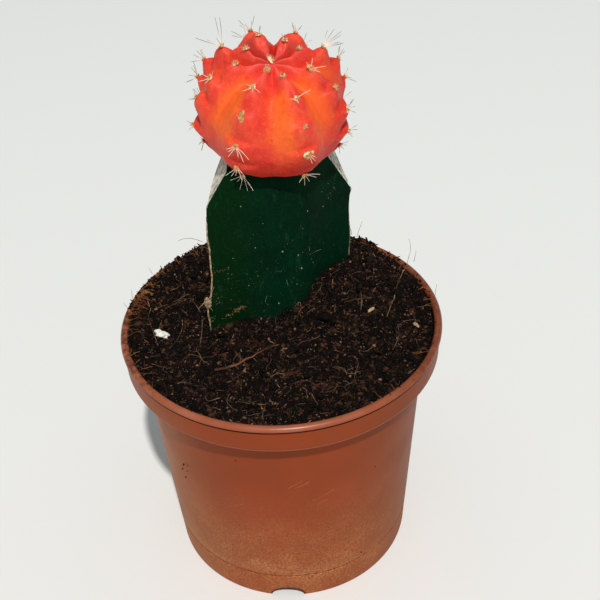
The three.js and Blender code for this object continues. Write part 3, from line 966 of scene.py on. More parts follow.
def headSkin():
    material, tree, shader = startMaterial("headSkin")
    place = objectPlace(tree)
    furrow, glowing, rise, chin = [attribute(tree, name) for name in headLayers]
    uneven = cloud(tree, place, 5, 4, 0.6)
    crest = blend(tree, ramp(tree, uneven, 0.35, 0.65), paint(224, 50, 38), paint(238, 74, 46))
    # Orange glows beside the furrows between the bottom and the crown
    brushed = cloud(tree, objectPlace(tree, scale=(1, 1, 0.45)), 2.0, 5, 0.65)
    wavyRise = plus(tree, rise, times(tree, brushed, 26.0))
    wavyGlow = plus(tree, glowing, times(tree, brushed, 0.8))
    glow = times(tree, ramp(tree, wavyGlow, 0.6, 1.2), ramp(tree, wavyRise, 8, 34))
    colour = layer(tree, crest, (250, 108, 30), glow, 0.86)
    # Painted shade: deeper red below and to the right. A painted reflection of the sky: a clearer red round
    # the crown
    colour = layer(tree, colour, (202, 32, 28), ramp(tree, wavyRise, 20, -18), 0.85)
    colour = layer(tree, colour, (204, 28, 26), ramp(tree, axes(tree, place)[0], 0.009, 0.02), 0.7)
    colour = layer(tree, colour, (242, 86, 78), ramp(tree, rise, 56, 74), 0.64)
    # Painted highlight: pink on the chins
    pinkHighlightSpots = blotches(tree, place, (1.6, 5, 0.65), 0.42, 0.64)
    colour = layer(tree, colour, (240, 112, 92), ramp(tree, chin, 0.3, 0.9), pinkHighlightSpots, 0.42)
    # Painted shade in the crease at the bottom of each furrow
    creased = plus(tree, furrow, times(tree, brushed, 0.3))
    crease = times(tree, ramp(tree, creased, 0.98, 1.2), ramp(tree, rise, 2, 36))
    colour = layer(tree, colour, (206, 44, 28), crease, 0.34)
    # Light and dark mottling, fine grain, small pale scars and corky flecks
    mottles = cloud(tree, place, 1.1, 5, 0.72)
    colour = layer(tree, colour, (250, 128, 74), ramp(tree, mottles, 0.54, 0.7), 0.34)
    colour = layer(tree, colour, (192, 30, 26), ramp(tree, mottles, 0.46, 0.32), 0.36)
    grain = blotches(tree, place, (0.32, 4, 0.75), 0.52, 0.68)
    colour = layer(tree, colour, (254, 156, 104), grain, 0.24)
    scarPlace = objectPlace(tree, scale=(1, 1, 2.4), turn=(0, 12, 0))
    scars = blotches(tree, scarPlace, (1.3, 6, 0.7, 0.9), 0.66, 0.72)
    colour = layer(tree, colour, (246, 166, 124), scars, 0.6)
    colour = layer(tree, colour, (255, 190, 150), specks(tree, place, 3.4, 0.085, 0.03), 0.75)
    fine = relief(tree, cloud(tree, place, 0.5, 4, 0.7), 0.08, 0.6)
    wrinkles = cloud(tree, objectPlace(tree, scale=(1, 1, 1.6)), 2.2, 5, 0.6)
    setInputs(tree, shader, {
        "Base Color": colour,
        "Roughness": plus(tree, times(tree, uneven, 0.2), 0.42),
        "Specular IOR Level": 0.28,
        "Subsurface Weight": 0.35,
        "Subsurface Radius": (1.0, 0.3, 0.12),
        "Subsurface Scale": 0.0018,
        "Normal": relief(tree, wrinkles, 0.3, 0.6, fine),
    })
    return material


def makeHead():
    bm = bmesh.new()
    bmesh.ops.create_uvsphere(
        bm, u_segments=head["around"], v_segments=head["along"], radius=1.0,
    )
    furrowLayer, glowLayer, riseLayer, chinLayer = [bm.verts.layers.float.new(name) for name in headLayers]
    for vert in bm.verts:
        latitude = math.degrees(math.asin(clamp(vert.co.z, -1, 1)))
        place = math.atan2(vert.co.x, -vert.co.y) / (2 * math.pi) * len(ribs)
        off = abs(place - round(place))
        areoles = ribs[round(place) % len(ribs)][3]
        vert[furrowLayer] = 2 * off
        furrowIndex = int(place % len(ribs))
        shift, power, end = glows[furrowIndex]
        fromGlow = place % len(ribs) - furrowIndex - 0.5 - shift
        ending = smoothstep(end, end - head["glowFade"], latitude)
        vert[glowLayer] = clamp(1 - 2 * abs(fromGlow)) * power * ending
        vert[riseLayer] = latitude
        crest = max(0, 1 - off / head["crestWidth"])
        vert[chinLayer] = crest * chinShape(latitude, areoles)
        vert.co = headPoint(latitude, place)
        outward = (vert.co - Vector(head["centre"])).normalized()
        vert.co += outward * ripples(vert.co, head["ripples"])
    cutFlat(bm, (0, 0, head["base"]), (0, 0, -1))
    bmesh.ops.recalc_face_normals(bm, faces=bm.faces)
    finishPiece("cactusHead", bm, [headSkin()], ["moon_cactus_head"], 60)


makeHead()
print("head made")


# Spine clusters

tuft = {
    "size": (0.68, 0.8, 0.36),  # across the rib, along it, and out of it
    "clumps": 11,
    "hairs": 22,
    "hairLength": 0.55,
    "hairRadius": 0.035,
}
spine = {"radius": 0.1, "paleRadius": 0.075, "tipRadius": 0.04, "bend": 0.14, "knots": 5, "tipShade": 0.12}
paleSpines = [(1, 1), (1, 2), (1, 3), (1, 4), (1, 5), (1, 6), (2, 2), (2, 4), (2, 5), (3, 1), (8, 2)]
# Spines of the areoles that show in front and round the edge: rib and areole, then for each
# spine its turn from up the rib, clockwise from outside, its lean from upright and its length
shownSpines = {
    (1, 1): [(20, 30, 1.6), (320, 40, 1.4), (90, 45, 1.2)],
    (1, 2): [(215, 60, 3.0), (110, 68, 3.0), (150, 60, 1.8), (270, 65, 1.5)],
    (1, 3): [(200, 50, 1.2), (20, 60, 1.2)],
    (1, 4): [(250, 58, 2.5), (205, 60, 3.2), (140, 60, 2.7), (120, 62, 4.4), (102, 70, 5.0), (225, 64, 2.4)],
    (1, 5): [(230, 55, 3.8), (178, 55, 2.2), (100, 65, 3.4), (140, 62, 3.6), (205, 58, 3.0)],
    (1, 6): [(240, 62, 4.6), (190, 55, 5.0), (165, 62, 5.4), (115, 60, 4.6), (140, 66, 5.0), (215, 62, 5.0)],
    (2, 1): [(100, 60, 1.6), (250, 60, 1.4), (180, 55, 1.2)],
    (2, 2): [(78, 60, 4.2), (280, 66, 2.0), (180, 60, 1.5)],
    (2, 3): [(60, 50, 1.6), (120, 60, 1.4)],
    (2, 4): [(145, 58, 2.4), (170, 66, 2.6), (120, 62, 2.0)],
    (2, 5): [(75, 68, 4.0), (112, 68, 3.6), (180, 60, 3.6), (150, 62, 3.0), (230, 64, 2.4)],
    (3, 1): [(145, 62, 3.6), (335, 52, 3.0), (190, 62, 2.4), (60, 55, 2.6)],
    (3, 2): [(120, 60, 2.2), (210, 62, 2.2), (330, 58, 2.0)],
    (3, 3): [(20, 56, 3.2), (60, 62, 3.0), (150, 58, 2.8), (100, 45, 2.4)],
    (3, 4): [(115, 52, 3.2), (60, 50, 2.6), (300, 55, 2.4), (170, 60, 2.6)],
    (3, 5): [(60, 50, 2.6), (145, 56, 3.4), (110, 45, 2.8), (200, 58, 2.6)],
    (4, 1): [(350, 50, 1.8), (120, 55, 1.6), (230, 55, 1.6)],
    (4, 2): [(152, 42, 6.6), (250, 40, 5.6), (238, 34, 4.6), (110, 50, 5.0), (190, 42, 4.0), (130, 46, 6.0),
             (172, 32, 5.4), (214, 42, 4.8)],
    (4, 3): [(20, 48, 3.6), (130, 40, 3.2), (340, 52, 3.8), (75, 50, 3.0)],
    (4, 4): [(160, 50, 3.6), (205, 44, 3.8), (110, 54, 2.6), (20, 56, 2.4)],
    (5, 1): [(0, 32, 2.0), (110, 48, 1.8), (220, 50, 1.8)],
    (5, 2): [(78, 36, 2.8), (305, 38, 2.8), (10, 45, 2.2), (190, 50, 2.4), (130, 56, 3.0)],
    (6, 1): [(350, 34, 3.0), (130, 48, 2.6), (225, 52, 2.6)],
    (6, 2): [(130, 36, 4.3), (240, 38, 4.5), (350, 45, 3.0), (180, 55, 3.8), (90, 50, 3.2)],
    (7, 1): [(350, 45, 2.0), (120, 55, 2.0), (240, 55, 2.0)],
    (7, 2): [(100, 36, 7.8), (262, 42, 7.4), (345, 36, 7.8), (40, 45, 4.6), (190, 50, 4.4)],
    (7, 3): [(205, 40, 3.8), (20, 36, 3.2), (305, 42, 2.6), (110, 50, 3.4), (250, 52, 3.4)],
    (8, 1): [(60, 60, 1.8), (200, 60, 1.6)],
    (8, 2): [(180, 55, 3.0), (235, 52, 2.6), (30, 62, 4.2), (120, 60, 2.4)],
    (8, 3): [(200, 55, 2.0), (320, 60, 2.2), (80, 50, 1.8)],
    (8, 4): [(320, 42, 1.8), (135, 40, 1.8), (220, 50, 1.6)],
    (8, 5): [(225, 45, 2.8), (160, 48, 3.0), (110, 56, 2.6), (60, 50, 2.0)],
}
# Tufts that are larger than the rest, or small
tuftSizes = {
    (1, 3): (0.75, 1.6, 0.45),
    (2, 3): (0.45, 0.55, 0.3),
    (2, 4): (1.2, 1.15, 0.6),
    (1, 1): (0.8, 1.1, 0.5),
    (3, 1): (1.0, 1.1, 0.5),
    (8, 3): (0.6, 0.75, 0.35),
    (8, 4): (0.55, 0.7, 0.35),
}


def areoleFrame(rib, latitude):
    # X across the rib, Y up the rib and Z out of the skin
    normal = (headTurn.to_3x3() @ globePoint(latitude, ribs[rib][0])).normalized()
    along = headPoint(latitude + 3, rib) - headPoint(latitude - 3, rib)
    side = along.cross(normal).normalized()
    upward = normal.cross(side).normalized()
    turned = Matrix((side, upward, normal)).transposed().to_4x4()
    return Matrix.Translation(headPoint(latitude, rib)) @ turned


def guessedSpines(dice, latitude):
    longest = 3.2 if latitude > 60 else 5.0
    spines = []
    for index in range(dice.randint(5, 7)):
        turn = index * 360 / 6 + dice.uniform(-22, 22)
        spines.append((turn, dice.uniform(42, 66), longest * dice.uniform(0.5, 1.0)))
    return spines


def spineStrand(rootRadius, turn, lean, length):
    turn = math.radians(turn)
    lean = math.radians(lean)
    outward = Vector((math.sin(turn) * math.sin(lean), math.cos(turn) * math.sin(lean), math.cos(lean)))
    aside = Vector((math.cos(turn), -math.sin(turn), 0))
    points = []
    radii = []
    for knot in range(spine["knots"]):
        share = knot / (spine["knots"] - 1)
        bow = spine["bend"] * length * (share * share - share)
        points.append(outward * length * share + Vector((0, 0, bow)) + aside * bow * 0.5)
        radii.append(lerp(rootRadius, spine["tipRadius"], share))
    return points, radii


def makeTuft(bm, dice, size, woolLayer):
    # A low cushion with smaller clumps of wool on it, each of its own tone
    for index in range(tuft["clumps"]):
        isCushion = index == 0
        turn = dice.uniform(0, 2 * math.pi)
        away = 0 if isCushion else dice.uniform(0.35, 0.95)
        lift = 0 if isCushion else dice.uniform(0.2, 0.9) * (1.1 - away)
        reach = 0.85 if isCushion else dice.uniform(0.24, 0.46)
        tone = 0.3 if isCushion else dice.uniform(0.1, 1.0)
        middle = Vector((away * math.cos(turn), away * math.sin(turn), lift))
        made = bmesh.ops.create_icosphere(bm, subdivisions=3 if isCushion else 2, radius=1.0)
        shift = dice.uniform(0, 50)
        lumps = [(0.4, 0.6, shift), (0.25, 0.3, shift)]
        for vert in made["verts"]:
            vert.co = stretch(middle + vert.co * (1 + ripples(vert.co, lumps)) * reach, size)
            vert[woolLayer] = tone


def areoleWool():
    material, tree, shader = startMaterial("areoleWool")
    kind = attribute(tree, "kind")  # 0 in the tuft, then 1 to 2 along a spine
    tone = attribute(tree, "tone")
    speckled = cloud(tree, objectPlace(tree), 0.4, 5, 0.75)
    mixed = plus(tree, tone, times(tree, combine(tree, "SUBTRACT", speckled, 0.5), 1.2))
    wool = blend(tree, ramp(tree, mixed, 0.05, 0.42), paint(122, 70, 34), paint(222, 158, 98))
    wool = layer(tree, wool, (252, 230, 184), ramp(tree, mixed, 0.46, 0.86))
    shaft = blend(tree, ramp(tree, kind, 1.15, 1.75), paint(255, 240, 216), paint(92, 82, 72))
    setInputs(tree, shader, {
        "Base Color": blend(tree, ramp(tree, kind, 0.5, 1.0), wool, shaft),
        "Roughness": 0.7,
        "Specular IOR Level": 0.25,
        "Normal": relief(tree, speckled, 0.12, 0.8),
    })
    return material


crownWool = {"latitude": 85, "rib": 5, "size": (0.5, 1.5, 0.4), "hairs": 46, "seed": 77}


def addHairs(bm, dice, count, size):
    hairs = []
    for _ in range(count):
        length = tuft["hairLength"] * dice.uniform(0.6, 1.3)
        root = Vector((dice.uniform(-0.7, 0.7) * size[0], dice.uniform(-0.7, 0.7) * size[1], 0))
        lean = Vector((dice.uniform(-1, 1), dice.uniform(-1, 1), dice.uniform(0.3, 1.1)))
        tip = root + lean.normalized() * (length + size[2])
        middle = root.lerp(tip, 0.5) + Vector((0, 0, 0.1))
        hairs.append(([root, middle, tip], [tuft["hairRadius"]] * 2 + [0.02]))
    addStrands(bm, hairs, 4, 2)


def makeCrownWool(finish):
    dice = random.Random(crownWool["seed"])
    bm = bmesh.new()
    bm.verts.layers.float.new("kind")
    woolLayer = bm.verts.layers.float.new("tone")
    makeTuft(bm, dice, crownWool["size"], woolLayer)
    addHairs(bm, dice, crownWool["hairs"], crownWool["size"])
    for vert in bm.verts:
        vert[woolLayer] = 0.95
    place = areoleFrame(crownWool["rib"], crownWool["latitude"])
    bmesh.ops.transform(bm, matrix=place, verts=bm.verts)
    finishPiece("crownWool", bm, [finish])


def makeClusters():
    finish = areoleWool()
    makeCrownWool(finish)
    for rib, (_, _, _, latitudes) in enumerate(ribs, start=1):
        for number, latitude in enumerate(latitudes, start=1):
            dice = random.Random(100 * rib + number)
            spines = shownSpines.get((rib, number)) or guessedSpines(dice, latitude)
            size = tuftSizes.get((rib, number), tuft["size"])
            bm = bmesh.new()
            kindLayer = bm.verts.layers.float.new("kind")
            woolLayer = bm.verts.layers.float.new("tone")
            makeTuft(bm, dice, size, woolLayer)
            pad = len(bm.verts)
            addHairs(bm, dice, tuft["hairs"], size)
            bm.verts.ensure_lookup_table()
            woolEnd = len(bm.verts)
            for vert in bm.verts[pad:]:
                vert[woolLayer] = 0.6 + 0.7 * ripple(vert.co, 0.3, rib)
            isPale = (rib, number) in paleSpines
            rootRadius = spine["paleRadius"] if isPale else spine["radius"]
            addStrands(bm, [spineStrand(rootRadius, *each) for each in spines], 6, 3)
            longest = max(length for _, _, length in spines)
            shade = spine["tipShade"] if isPale else 1.0
            bm.verts.ensure_lookup_table()
            for vert in bm.verts[woolEnd:]:
                vert[kindLayer] = 1.0 + shade * clamp(vert.co.length / longest)
            bmesh.ops.transform(bm, matrix=areoleFrame(rib - 1, latitude), verts=bm.verts)
            node = f"spines_rib_{rib}_areole_{number}"
            finishPiece(f"spines{rib}-{number}", bm, [finish], [node])


makeClusters()
print("spine clusters made")


# Soil

soil = {
    "centreHeight": 76.6,
    "rise": 0.05,
    "heap": 3.0,
    "heapPlace": (8, 20),
    "heapSpread": 17,
    "edge": 42.4,
    "banked": 1.0,  # higher against the back left of the pot
    "settled": 0.7,  # lower in front of the stem
    "ripples": [(0.75, 5.5, 0), (0.6, 2.3, 4), (0.3, 1.0, 9)],
    "rings": 76,
    "steps": 256,
}
crumbKinds = [
    # name, how many, smallest and largest radius, fineness, share of splinters, brightest tone, seed
    ("soilDust", 9000, 0.13, 0.36, 1, 0.65, 1.0, 3),
    ("soilGrains", 5200, 0.26, 0.66, 1, 0.4, 0.95, 6),
    ("soilCrumbs", 620, 0.55, 1.15, 2, 0.3, 0.8, 4),
    ("soilClods", 45, 1.0, 1.7, 3, 0.2, 0.6, 5),
]
fibreKinds = [
    # name, how many, shortest, longest, radius, waviness, seed
    ("fineFibres", 300, 1.0, 4.0, 0.045, 0.55, 11),
    ("longFibres", 42, 5.0, 14.0, 0.055, 0.36, 12),
]
# Soil on the pot's lip: bearing from +X, half width in degrees, crumbs, fibres that cross
# the lip, how far out they lie, and the largest crumb's radius
spills = [
    (162, 19, 400, 48, 0.9, 0.45),
    (184, 20, 230, 8, 0.3, 0.45),
    (145, 15, 290, 10, 0.85, 0.6),
    (124, 13, 260, 6, 1.0, 0.85),
    (105, 16, 260, 4, 0.95, 0.7),
    (80, 16, 240, 4, 0.95, 0.7),
    (57, 11, 330, 5, 1.0, 1.0),
    (38, 14, 110, 4, 0.75, 0.5),
    (12, 18, 70, 6, 0.6, 0.4),
    (-20, 18, 40, 3, 0.5, 0.35),
    (-48, 12, 44, 2, 0.6, 0.4),
    (-100, 60, 40, 0, 0.5, 0.3),
    (-150, 26, 40, 5, 0.6, 0.35),
]


def soilHeight(x, y):
    heapX, heapY = soil["heapPlace"]
    away = math.hypot(x - heapX, y - heapY) / soil["heapSpread"]
    return soil["centreHeight"] + soil["rise"] * y + soil["heap"] * math.exp(-away * away)


def groundHeight(x, y):
    away = math.hypot(x, y)
    backLeft = smoothstep(0.1, 0.8, (0.5 * y - 0.85 * x) / max(away, 1))
    banked = soil["banked"] * backLeft * smoothstep(33, 41, away)
    inFront = soil["settled"] * smoothstep(6, -8, y) * smoothstep(40, 34, away)
    return soilHeight(x, y) + ripples((x, y, 0), soil["ripples"]) + banked - inFront


stemFootprint = [stemOutline(0.02, step / 12) for step in range(36)]


def isInStem(x, y, margin):
    middle = stemCentre(0.02)
    aside = Vector((x, y)) - middle
    for first, second in zip(stemFootprint, stemFootprint[1:] + stemFootprint[:1]):
        start = first - middle
        wall = second - first
        if start.cross(aside) >= 0 and aside.cross(second - middle) >= 0:
            return wall.cross(aside - start) / wall.length > -margin
    return False


def soilMatter(name, dark, light):
    material, tree, shader = startMaterial(name)
    place = objectPlace(tree)
    tone = attribute(tree, "tone")
    patches = cloud(tree, place, 3.2, 4, 0.65)
    mixed = plus(tree, tone, times(tree, combine(tree, "SUBTRACT", patches, 0.5), 0.7))
    colour = blend(tree, ramp(tree, mixed, 0.58, 0.92), paint(*dark), paint(*light))
    colour = layer(tree, colour, (138, 106, 80), ramp(tree, tone, 0.9, 0.95))
    # Reddish patches of coir dust, pale bits and small glints
    coirZone = blotches(tree, place, (5.5, 3), 0.6, 0.72)
    coir = blotches(tree, place, (0.8, 5, 0.7), 0.46, 0.62)
    colour = layer(tree, colour, (106, 62, 42), coirZone, coir, 0.42)
    bits = blotches(tree, place, (0.45, 5, 0.75), 0.6, 0.7)
    colour = layer(tree, colour, (104, 68, 46), bits, 0.5)
    glints = blotches(tree, place, (0.34, 4, 0.75), 0.64, 0.7)
    setInputs(tree, shader, {
        "Base Color": layer(tree, colour, (176, 144, 118), glints, 0.85),
        "Roughness": 0.9,
        "Specular IOR Level": 0.1,
        "Normal": relief(tree, cloud(tree, place, 0.5, 5, 0.7), 0.25, 0.9),
    })
    return material


def makeSoil(finish):
    floor = pot["recess"] + pot["wall"] + 0.3
    outline = [
        (0, floor),
        (innerWallRadius(floor) - 0.7, floor),
        (innerWallRadius(pot["grooveHeight"]) - 0.3, pot["grooveHeight"]),
        (innerWallRadius(pot["wallTop"]) - 0.3, pot["wallTop"] + 1),
        (soil["edge"] - 0.1, pot["collarBottom"] + 1.9),
    ]
    for ring in range(soil["rings"], -1, -1):
        outline.append((soil["edge"] * ring / soil["rings"], soil["centreHeight"]))
    bm = spunBody(outline, soil["steps"])
    toneLayer = bm.verts.layers.float.new("tone")
    for vert in bm.verts:
        vert[toneLayer] = 0.5 + 0.5 * ripple(vert.co, 1.4, 2)
        if vert.co.z > soil["centreHeight"] - 1:
            vert.co.z = groundHeight(vert.co.x, vert.co.y)
    finishPiece("soilBed", bm, [finish], ["potting_soil"])


def scatterPlace(dice, reach, margin):
    while True:
        x = dice.uniform(-reach, reach)
        y = dice.uniform(-reach, reach)
        if math.hypot(x, y) < reach and not isInStem(x, y, margin):
            return x, y


def addCrumb(bm, dice, place, radius, fineness, splinter, tone, toneLayer):
    long = dice.uniform(1.6, 3.4) if splinter else dice.uniform(0.9, 1.4)
    thin = dice.uniform(0.35, 0.6) if splinter else dice.uniform(0.7, 1.0)
    size = Matrix.Diagonal((radius * long, radius * thin, radius * thin, 1))
    turn = Matrix.Rotation(dice.uniform(0, 6.28), 4, "Z") @ Matrix.Rotation(dice.uniform(-0.7, 0.7), 4, "Y")
    made = bmesh.ops.create_icosphere(bm, subdivisions=fineness, radius=1.0)
    shift = dice.uniform(0, 90)
    lumps = [(0.55, 0.9, shift), (0.3, 0.4, shift)]
    placed = Matrix.Translation(place) @ turn @ size
    for vert in made["verts"]:
        vert.co = placed @ (vert.co * (1 + ripples(vert.co, lumps)))
        vert[toneLayer] = tone


def makeCrumbs(name, count, smallest, largest, fineness, splinters, brightest, seed, finish):
    dice = random.Random(seed)
    batchSize = 250
    whole = bmesh.new()
    whole.verts.layers.float.new("tone")
    for start in range(0, count, batchSize):
        batch = bmesh.new()
        toneLayer = batch.verts.layers.float.new("tone")
        for _ in range(min(batchSize, count - start)):
            radius = lerp(smallest, largest, dice.random() ** 2.2)
            x, y = scatterPlace(dice, soil["edge"] - 0.4, radius * 0.4)
            place = (x, y, groundHeight(x, y) + radius * dice.uniform(-0.1, 0.4))
            splinter = dice.random() < splinters
            tone = brightest * dice.random()
            addCrumb(batch, dice, place, radius, fineness, splinter, tone, toneLayer)
        mesh = bpy.data.meshes.new("batch")
        batch.to_mesh(mesh)
        batch.free()
        whole.from_mesh(mesh)
        bpy.data.meshes.remove(mesh)
    finishPiece(name, whole, [finish])


def fibreFinish(name, dark, light):
    material, tree, shader = startMaterial(name)
    place = objectPlace(tree)
    colour = blend(tree, blotches(tree, place, (6, 3, 0.6), 0.38, 0.66), paint(*dark), paint(*light))
    flecks = blotches(tree, place, (0.6, 4, 0.7), 0.55, 0.7)
    setInputs(tree, shader, {
        "Base Color": layer(tree, colour, (60, 42, 30), flecks, 0.5),
        "Roughness": 0.75,
        "Specular IOR Level": 0.25,
        "Normal": relief(tree, flecks, 0.06, 0.7),
    })
    return material


def makeLooseFibres(name, count, shortest, longest, radius, waviness, seed, finish):
    dice = random.Random(seed)
    strands = []
    for _ in range(count):
        x, y = scatterPlace(dice, soil["edge"] - 0.8, 0.5)
        length = lerp(shortest, longest, dice.random() ** 1.8)
        heading = dice.uniform(0, 2 * math.pi)
        bend = dice.uniform(-0.3, 0.3)
        lift = dice.uniform(0.05, 0.5 + length * 0.08)
        steps = 5 + int(length)
        points = []
        radii = []
        thickness = radius * dice.uniform(0.7, 1.35)
        for step in range(steps):
            share = step / (steps - 1)
            if math.hypot(x, y) > soil["edge"] - 0.2 or isInStem(x, y, 0.2):
                break
            rise = lift * math.sin(math.pi * share) + 0.25 + dice.uniform(-0.06, 0.12)
            points.append((x, y, groundHeight(x, y) + rise))
            radii.append(thickness * lerp(1.0, 0.55, share))
            heading += bend + dice.uniform(-waviness, waviness)
            x += math.cos(heading) * length / (steps - 1)
            y += math.sin(heading) * length / (steps - 1)
        if len(points) > 3:
            strands.append((points, radii))
    bm = bmesh.new()
    addStrands(bm, strands, 4, 2)
    finishPiece(name, bm, [finish])


def lipHeight(radius):
    middle = (pot["lipRadius"] + pot["lipInner"]) / 2
    across = clamp(abs(radius - middle) / (pot["lipRadius"] - middle))
    return pot["lipCentre"] + (pot["height"] - pot["lipCentre"]) * math.sqrt(1 - across * across)


def makeSpills(crumbFinish, strandFinish):
    dice = random.Random(21)
    bm = bmesh.new()
    toneLayer = bm.verts.layers.float.new("tone")
    strands = []
    for bearing, halfWidth, crumbs, fibres, reach, largest in spills:
        for _ in range(crumbs):
            turn = math.radians(bearing + halfWidth * dice.triangular(-1, 1, 0))
            away = lerp(pot["lipInner"] - 0.5, pot["lipRadius"] - 0.5, reach * dice.random() ** 1.6)
            radius = lerp(0.1, largest, dice.random() ** 2.2)
            away = min(away, pot["lipRadius"] - radius)
            place = (away * math.cos(turn), away * math.sin(turn), lipHeight(away) + radius * 0.3)
            addCrumb(bm, dice, place, radius, 1, dice.random() < 0.5, 0.9 * dice.random(), toneLayer)
        for _ in range(fibres):
            turn = math.radians(bearing + halfWidth * dice.triangular(-1, 1, 0))
            inner = pot["lipInner"] - dice.uniform(0.5, 4)
            outer = lerp(pot["lipInner"], pot["lipRadius"] - 0.3, reach * dice.uniform(0.3, 1))
            drift = dice.uniform(-0.06, 0.06)
            lift = dice.uniform(0.1, 0.9)
            points = []
            for step in range(6):
                share = step / 5
                away = lerp(inner, outer, share)
                angle = turn + drift * share + dice.uniform(-0.006, 0.006)
                x, y = away * math.cos(angle), away * math.sin(angle)
                onSoil = away < pot["lipInner"]
                under = max(groundHeight(x, y), pot["lipCentre"] + 0.6) if onSoil else lipHeight(away)
                points.append((x, y, under + 0.12 + lift * math.sin(math.pi * share)))
            strands.append((points, [0.07, 0.07, 0.065, 0.06, 0.055, 0.04]))
    finishPiece("rimCrumbs", bm, [crumbFinish])
    rim = bmesh.new()
    addStrands(rim, strands, 4, 2)
    finishPiece("rimFibres", rim, [strandFinish])


soilFinish = soilMatter("peat", (11, 8, 6), (76, 49, 34))
makeSoil(soilFinish)
for crumbKind in crumbKinds:
    makeCrumbs(*crumbKind, soilFinish)
tanFibre = fibreFinish("tanFibre", (70, 46, 34), (166, 128, 100))
rustFibre = fibreFinish("rustFibre", (110, 60, 30), (176, 118, 62))
for fibreKind in fibreKinds:
    makeLooseFibres(*fibreKind, tanFibre)
makeSpills(soilFinish, rustFibre)
print("soil made")


# What lies on the soil

# Routes in plan with the radius at the start and end
namedStrands = {
    "twig": ([(-18.1, -19.3), (-14.5, -18), (-10.8, -16.2), (-7.2, -13.2), (-1, -9.8)], 0.42, 0.16),
    "root_fibre_1": ([(0.2, -12.1), (3.6, -10.6), (6.9, -9.3), (10.6, -7)], 0.2, 0.1),
    "root_fibre_2": ([(-26.3, 11.3), (-24, 7.5), (-22.2, 3), (-22.2, -2.1), (-22.6, -8.3)], 0.15, 0.12),
    "root_fibre_3": ([(-39.2, 15), (-38.4, 10.5), (-37.2, 6.5), (-37.6, 3)], 0.13, 0.1),
    "root_fibre_4": ([(36.5, 18.5), (34, 12), (32.4, 6), (29.7, -1.3)], 0.15, 0.12),
}
# More fibres: their points with the height above the soil, or in space where they
# stand clear of the pot
lyingFibres = [
    [(-37.6, 3, 0.5), (-35.9, -2.4, 0.6), (-34.2, -7.4, 0.4)],
    [(21.6, 14.8, 0.6), (23.3, 13.6, 0.9), (23.3, 6.4, 0.8), (22.7, 2.3, 0.4)],
    [(-20.5, -27.7, 0.4), (-19.8, -31.4, 1.2), (-18.3, -30.8, 1.6), (-16.5, -29.1, 0.5)],
    [(19.5, -6, 0.4), (20.4, -8, 0.8), (20.6, -10.1, 0.4)],
    [(-41, -16.4, 0.6), (-38.6, -17.6, 1.2), (-35.9, -18, 0.5)],
    [(7.3, 11.6, 0.4), (10, 13.4, 0.9), (13.2, 14.6, 0.5)],
    [(15.4, 16.3, 0.6), (18, 18, 1.2), (20.4, 18.8, 0.7)],
    [(16, 4, 0.4), (21, 6.5, 0.7), (26, 7, 0.4)],
    [(-31, -9, 0.4), (-27, -4, 0.8), (-28, 2, 0.5)],
    [(30, -14, 0.4), (33, -9, 0.7), (32.4, -4, 0.4)],
    [(-36, 8, 0.4), (-31, 9.5, 0.9), (-27, 14, 0.4)],
    [(-12, -30, 0.5), (-6, -33, 0.9), (-1, -32, 0.4)],
]
standingFibres = [
    [(34.1, 13.5, 78.2), (37.4, 19.3, 78.8), (38.9, 25, 78.9), (39.8, 26, 81.8), (38.9, 26, 84.6)],
    [(40.2, 23.2, 78.2), (40.8, 24.6, 79.2), (41.1, 25.5, 80.6)],
    [(44.2, 6.2, 77.8), (44.4, 6.6, 79.6), (44.7, 7, 81.5)],
    [(-38.2, 24.1, 78.2), (-38.8, 25, 78.7), (-39.4, 26, 79.2)],
    [(-43, 12.6, 77.9), (-43.3, 13.4, 78.8), (-43.1, 14, 80)],
    [(-43.6, 7.5, 77.9), (-44.6, 8.2, 78.8), (-45.1, 9, 79.2)],
    [(-23.6, 38, 79.4), (-26.2, 40.5, 79.2), (-29.6, 40.5, 79.6), (-31.4, 39.6, 79.2)],
    [(24.2, 36.9, 79), (25, 39, 80.4), (26.3, 41, 82)],
    [(22.6, 38, 79.2), (23, 39, 80.2), (21.8, 40, 81)],
]
placedRadius = 0.075
grains = {
    "perlite_crumb": ((-33.6, -3), (2.1, 1.0, 0.9), -25, "perlite"),
    "grit_grain_1": ((25.6, 1.8), (1.2, 0.42, 0.4), 40, "grit"),
    "grit_grain_2": ((37.4, -5.1), (0.95, 0.5, 0.4), -50, "grit"),
}


def makeNamedStrands():
    finishes = {"twig": fibreFinish("twigBark", (66, 38, 27), (140, 88, 62))}
    for node, (route, startRadius, endRadius) in namedStrands.items():
        points = []
        radii = []
        last = len(route) - 1
        pieces = 4
        for step in range(last * pieces + 1):
            leg = min(step // pieces, last - 1)
            share = step / pieces - leg
            x, y = Vector(route[leg]).lerp(Vector(route[leg + 1]), share)
            radius = lerp(startRadius, endRadius, step / (last * pieces))
            radius *= 1 + 0.25 * ripple((x, y, 3), 0.9)
            points.append((x, y, groundHeight(x, y) + 0.5 + radius + 0.2 * ripple((x, y, 1), 2.0)))
            radii.append(radius)
        bm = bmesh.new()
        addStrands(bm, [(points, radii)], 8, 3)
        finish = finishes.get(node, tanFibre)
        finishPiece(node.replace("_", ""), bm, [finish], [node])


def makePlacedFibres():
    strands = []
    for route in lyingFibres:
        points = [(x, y, groundHeight(x, y) + lift) for x, y, lift in route]
        strands.append((points, [placedRadius] * len(points)))
    for route in standingFibres:
        shares = [step / (len(route) - 1) for step in range(len(route))]
        strands.append((route, [lerp(placedRadius, placedRadius * 0.6, share) for share in shares]))
    bm = bmesh.new()
    addStrands(bm, strands, 6, 4)
    finishPiece("placedFibres", bm, [tanFibre])


